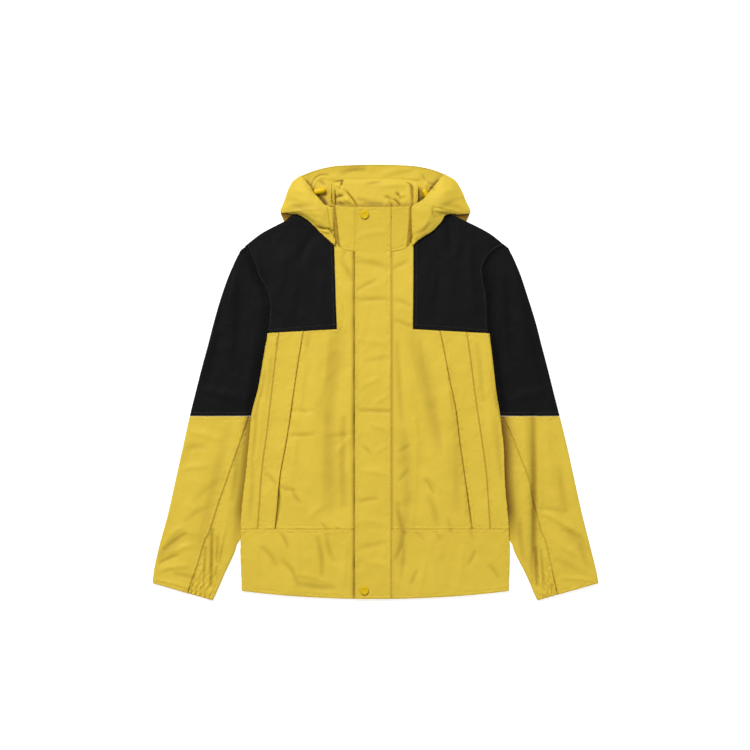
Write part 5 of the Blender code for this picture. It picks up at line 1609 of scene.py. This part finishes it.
def sleeve_lines():
    """Topstitches of the lower sleeves."""
    lines = []
    for side in SIGN:
        outer, inner = GRIDS["sleeve_outer_" + side], GRIDS["sleeve_inner_" + side]
        lines += [outer[NEAR], inner[NEAR], outer[FAR], inner[FAR], inner[FAR - 4]]
        lines.append(outer[NEAR:, NEAR])
    return lines


def head_lines():
    """Topstitches of the collar and the hood."""
    lines = []
    for side in SIGN:
        wall, rim = GRIDS["collar_front_" + side], GRIDS["hood_side_" + side]
        lines += [wall[FAR], wall[NEAR], rim[6:-3, -11], rim[10:-3, 16]]
    return lines


def black_lines():
    """Topstitches of the black yokes and upper sleeves."""
    lines = [GRIDS["back_yoke"][NEAR]]
    for side in SIGN:
        yoke, sleeve = GRIDS["front_yoke_" + side], GRIDS["sleeve_upper_" + side]
        lines += [yoke[NEAR], yoke[NEAR:-14, NEAR], yoke[NEAR:-16, FAR], sleeve[NEAR]]
    return lines


# -------------------------------------------------------------------------------------- materials
LOOKS = {}
THREADS_PER_METRE = 950.0
TONE_VARIATION = 0.4     # how much the tone of cloth changes over the jacket
PAINTED_SEAM_SHADE = 0.5          # painted shade: how much darker cloth is made in the hollows of its seams
SEAM_PUCKER = 0.9
CRINKLE_BUMP = 0.9       # height of the crinkles in a cloth's normals
WEAVE_BUMP = 0.05        # height of the weave in them
GAP_GLOSS = 0.12         # how much rougher the gaps between threads are


def srgb(red, green, blue):
    """Linear colour from the three 0 to 255 values that a picture of it shows."""
    values = [value / 255 for value in (red, green, blue)]
    return [v / 12.92 if v <= 0.04045 else ((v + 0.055) / 1.055)**2.4 for v in values] + [1.0]


def new_group(name, inputs, outputs):
    """Shader node group with named sockets; returns it with the sockets that it is given and the
    ones for its results."""
    group = bpy.data.node_groups.new(name, "ShaderNodeTree")
    kinds = {float: "NodeSocketFloat", list: "NodeSocketColor"}
    for title, value in inputs.items():
        socket = group.interface.new_socket(title, in_out="INPUT", socket_type=kinds[type(value)])
        socket.default_value = value
    for title, kind in outputs.items():
        group.interface.new_socket(title, in_out="OUTPUT", socket_type=kinds[kind])
    return group, add(group, "NodeGroupInput").outputs, add(group, "NodeGroupOutput").inputs


def object_place(tree):
    return add(tree, "ShaderNodeTexCoord").outputs["Object"]


def noise_value(tree, place, scale, detail=2.0, stretch=(1.0, 1.0, 1.0)):
    """Noise of object space; scale counts its swells in a metre."""
    mapping = add(tree, "ShaderNodeMapping", Vector=place, Scale=stretch)
    return add(tree, "ShaderNodeTexNoise", Vector=mapping.outputs["Vector"], Scale=scale,
               Detail=detail).outputs["Fac"]


def blended(tree, share, first, second):
    """Colour at a share of the way between two colours."""
    node = add(tree, "ShaderNodeMix", data_type="RGBA")
    for place, value in ((0, share), (6, first), (7, second)):
        put(tree, node.inputs[place], value)
    return node.outputs[2]


def seam_mask(tree, far, near):
    """Mask that rises from 0 to 1 as the distance from a seam goes from far to near."""
    away = add(tree, "ShaderNodeAttribute", attribute_name="seam_distance").outputs["Fac"]
    return add(tree, "ShaderNodeMapRange", interpolation_type="SMOOTHSTEP", Value=away,
               From_Min=far, From_Max=near).outputs["Result"]


def shell_weave():
    """Fine plain weave with slightly uneven threads: its height, and a mask of the gaps."""
    group, given, result = new_group(
        "Shell weave", {"Threads per metre": 900.0, "Unevenness": 0.35},
        {"Height": float, "Gaps": float})
    place = object_place(group)
    split = add(group, "ShaderNodeSeparateXYZ", Vector=place)
    drift = maths(group, "MULTIPLY", noise_value(group, place, 240.0), given["Unevenness"])
    threads = []
    for axis in "XY":
        along = maths(group, "MULTIPLY", split.outputs[axis], given["Threads per metre"])
        turns = maths(group, "MULTIPLY", maths(group, "ADD", along, drift), 2 * math.pi)
        threads.append(maths(group, "ABSOLUTE", maths(group, "SINE", turns)))
    height = maths(group, "MAXIMUM", *threads)
    put(group, result["Height"], height)
    put(group, result["Gaps"], maths(group, "SUBTRACT", 1.0, height))
    return group


def cloth_relief():
    """Crinkles of thin coated cloth, stronger beside seams, for a Bump node's height."""
    group, given, result = new_group(
        "Cloth relief", {"Crinkle": 0.7, "Seam pucker": 1.0}, {"Height": float, "Seam": float})
    place = object_place(group)
    seam = seam_mask(group, 14.0, 1.0)
    broad = noise_value(group, place, 34.0, 3.0, (1.0, 0.7, 1.0))
    fold = maths(group, "ABSOLUTE", maths(group, "SUBTRACT", broad, 0.5))
    fine = maths(group, "MULTIPLY", noise_value(group, place, 160.0), 0.18)
    soft = maths(group, "MULTIPLY_ADD", fold, -2.2, fine)
    pucker = maths(group, "MULTIPLY", noise_value(group, place, 210.0, 1.0),
                   maths(group, "MULTIPLY", seam, given["Seam pucker"]))
    put(group, result["Height"], maths(group, "MULTIPLY_ADD", soft, given["Crinkle"], pucker))
    put(group, result["Seam"], seam)
    return group


def cloth_tone():
    """Slow changes of tone over the cloth, and painted shade in its seams, its folds and its
    shadows.
    """
    group, given, result = new_group(
        "Cloth tone", {"Cloth": [0.8, 0.6, 0.1, 1.0], "Shade": [0.6, 0.4, 0.05, 1.0],
                       "Fold": [0.3, 0.2, 0.02, 1.0], "Variation": 0.3, "Seam shade": 0.5},
        {"Colour": list})
    broad = noise_value(group, object_place(group), 9.0, 3.0)
    # painted shade in the hollows of the seams, added to the random change of tone
    line = maths(group, "MULTIPLY", seam_mask(group, 2.6, 0.2), given["Seam shade"])
    share = maths(group, "MULTIPLY_ADD", broad, given["Variation"], line)
    tone = blended(group, maths(group, "MINIMUM", share, 1.0), given["Cloth"], given["Shade"])
    # painted shade from the painted_shade attribute: folds, recesses and cast shadows
    depth = add(group, "ShaderNodeAttribute", attribute_name="painted_shade").outputs["Fac"]
    put(group, result["Colour"], blended(group, depth, tone, given["Fold"]))
    return group


def shader_of(name, roughness, **settings):
    """New material; returns it with its tree and its Principled node, whose constants are set."""
    material = bpy.data.materials.new(name)
    material.use_nodes = True
    shader = material.node_tree.nodes["Principled BSDF"]
    shader.inputs["Roughness"].default_value = roughness
    for socket, value in settings.items():
        shader.inputs[socket.replace("_", " ")].default_value = value
    LOOKS[name] = material
    return material.node_tree, shader


def bump(tree, shader, height, distance, strength=1.0, **under):
    """Bump node on a height, over the normal of another one; its own goes to the shader."""
    normal = add(tree, "ShaderNodeBump", Strength=strength, Distance=distance * MM,
                 Height=height, **under).outputs["Normal"]
    put(tree, shader.inputs["Normal"], normal)
    return normal


def cloth_look(name, groups, tones, roughness, crinkle, sheen, gleam):
    """Coated shell cloth: weave, crinkles, its own tone, a darker tone for random change and
    painted seam shade, and a darker colour of painted shade for folds and shadows.
    """
    weave, relief, tone = groups
    # lit: own colour; shade: random change and painted seam shade; fold: painted shade
    lit, shade, fold = tones
    tree, shader = shader_of(name, roughness, Sheen_Weight=sheen, Sheen_Roughness=0.45,
                             Specular_IOR_Level=gleam)
    colour = add(tree, "ShaderNodeGroup", node_tree=tone, Cloth=lit, Shade=shade, Fold=fold,
                 Variation=TONE_VARIATION, Seam_shade=PAINTED_SEAM_SHADE).outputs["Colour"]
    put(tree, shader.inputs["Base Color"], colour)
    folds = add(tree, "ShaderNodeGroup", node_tree=relief, Crinkle=crinkle,
                Seam_pucker=SEAM_PUCKER)
    threads = add(tree, "ShaderNodeGroup", node_tree=weave, Unevenness=0.35,
                  Threads_per_metre=THREADS_PER_METRE).outputs
    first = bump(tree, shader, folds.outputs["Height"], CRINKLE_BUMP)
    bump(tree, shader, threads["Height"], WEAVE_BUMP, 0.6, Normal=first)
    shine = maths(tree, "MULTIPLY_ADD", threads["Gaps"], GAP_GLOSS, roughness)
    put(tree, shader.inputs["Roughness"], shine)


def thread_look(name, lit, shade):
    """Spun thread: fine twist along each stitch and changes of tone between stitches."""
    tree, shader = shader_of(name, 0.55, Sheen_Weight=0.2)
    place = object_place(tree)
    tone = blended(tree, noise_value(tree, place, 420.0, 1.0), lit, shade)
    put(tree, shader.inputs["Base Color"], tone)
    bump(tree, shader, noise_value(tree, place, 2600.0, 1.0, (1.0, 1.6, 1.0)), 0.12)


def hard_look(name, lit, worn, roughness, scale, **settings):
    """Painted metal or moulded plastic: faint mottling, fine scuffs and an uneven gloss."""
    tree, shader = shader_of(name, roughness, **settings)
    place = object_place(tree)
    mottle = maths(tree, "POWER", noise_value(tree, place, scale, 4.0), 2.2)
    put(tree, shader.inputs["Base Color"], blended(tree, mottle, lit, worn))
    scuffs = noise_value(tree, place, scale * 6, 3.0, (1.0, 0.3, 1.0))
    gloss = maths(tree, "MULTIPLY_ADD", scuffs, 0.25, roughness - 0.1)
    put(tree, shader.inputs["Roughness"], gloss)
    bump(tree, shader, scuffs, 0.04, 0.5)


def floor_look():
    """Plain pale paper, bright enough to show white."""
    tree, shader = shader_of("floor_paper", 0.9)
    grain = noise_value(tree, object_place(tree), 3.0)
    tone = blended(tree, grain, srgb(200, 200, 200), srgb(194, 194, 193))
    put(tree, shader.inputs["Base Color"], tone)
    shader.inputs["Emission Color"].default_value = (1.0, 1.0, 1.0, 1.0)
    shader.inputs["Emission Strength"].default_value = 0.72


def materials():
    groups = shell_weave(), cloth_relief(), cloth_tone()
    # tones of each cloth: its own, a darker one for random change and painted seam shade, and
    # painted shade
    cloth_look("yellow_cloth", groups, (srgb(216, 188, 62), srgb(190, 158, 44), srgb(112, 80, 12)),
               roughness=0.58, crinkle=1.0, sheen=0.04, gleam=0.2)
    cloth_look("black_cloth", groups, (srgb(18, 18, 19), srgb(11, 11, 12), srgb(5, 5, 6)),
               roughness=0.62, crinkle=0.8, sheen=0.0, gleam=0.07)
    thread_look("yellow_thread", srgb(226, 194, 66), srgb(204, 166, 44))
    thread_look("black_thread", srgb(22, 22, 24), srgb(13, 13, 14))
    hard_look("snap_enamel", srgb(216, 182, 6), srgb(190, 152, 4), 0.36, 180.0, Coat_Weight=0.08,
              Coat_Roughness=0.2, Specular_IOR_Level=0.25)
    hard_look("toggle_plastic", srgb(228, 190, 2), srgb(192, 154, 0), 0.42, 140.0,
              Specular_IOR_Level=0.25)
    floor_look()


# ------------------------------------------------------------------------------------------ stage
PIXEL = 1.8              # millimetres of the jacket in a pixel of the picture
PICTURE = 750            # pixels of the picture's side
PICTURE_MIDDLE = (-0.9, 13.5)
LENS = 85.0
SENSOR = 36.0
VIEW_END = 20.0          # metres that the camera sees
FLOOR_HALF = 16.0        # half the floor's side, in metres
FLOOR_GAP = 0.5          # how far the floor lies below the jacket


def floor():
    mesh = bpy.data.meshes.new("floor")
    turns = ((-1, -1), (1, -1), (1, 1), (-1, 1))
    corners = [(FLOOR_HALF * x, FLOOR_HALF * y, -FLOOR_GAP * MM) for x, y in turns]
    mesh.from_pydata(corners, [], [(0, 1, 2, 3)])
    mesh.materials.append(LOOKS["floor_paper"])
    placed("floor", mesh)


def camera():
    """Camera straight above, far enough that a pixel is PIXEL wide at the front's height."""
    lens = bpy.data.cameras.new("camera")
    lens.lens = LENS
    lens.sensor_width = SENSOR
    lens.clip_end = VIEW_END
    away = PICTURE * PIXEL * LENS / SENSOR + FRONT_TOP
    eye = placed("camera", lens)
    eye.location = Vector((*PICTURE_MIDDLE, away)) * MM
    bpy.context.scene.camera = eye


def light(name, place, size, power, colour):
    """Large soft area light, turned to the jacket."""
    lamp = bpy.data.lights.new(name, "AREA")
    lamp.shape = "DISK"
    lamp.size = size
    lamp.energy = power
    lamp.color = colour
    holder = placed(name, lamp)
    holder.location = place
    holder.rotation_euler = (-Vector(place)).to_track_quat("-Z", "Y").to_euler()


def lighting():
    light("key_light", (-1.6, 3.1, 4.7), 2.2, 343.0, (1.0, 0.99, 0.97))
    light("fill_light", (3.4, -1.6, 4.0), 2.4, 45.0, (0.97, 0.985, 1.0))
    world = bpy.data.worlds.new("studio")
    world.use_nodes = True
    sky = world.node_tree.nodes["Background"]
    sky.inputs["Color"].default_value = (1.0, 1.0, 1.0, 1.0)
    sky.inputs["Strength"].default_value = 0.23
    bpy.context.scene.world = world
    bpy.context.scene.view_settings.view_transform = "Standard"


# ------------------------------------------------------------------------------------------- main
def main():
    camera()
    lighting()
    materials()
    floor()

    back_body()
    back_yoke()
    front_yokes()
    front_mains()
    pocket_bands()
    side_panels()
    hem_panels()
    upper_sleeves()
    lower_sleeves()
    collar_fronts()
    collar_back()
    storm_flap()
    hood_back()
    hood_sides()
    snaps()
    toggles()

    tree = stitch_tree()
    sew("body_stitches", body_lines(), "yellow_thread", tree)
    sew("sleeve_stitches", sleeve_lines(), "yellow_thread", tree)
    sew("head_stitches", head_lines(), "yellow_thread", tree)
    sew("black_stitches", black_lines(), "black_thread", tree)


main()
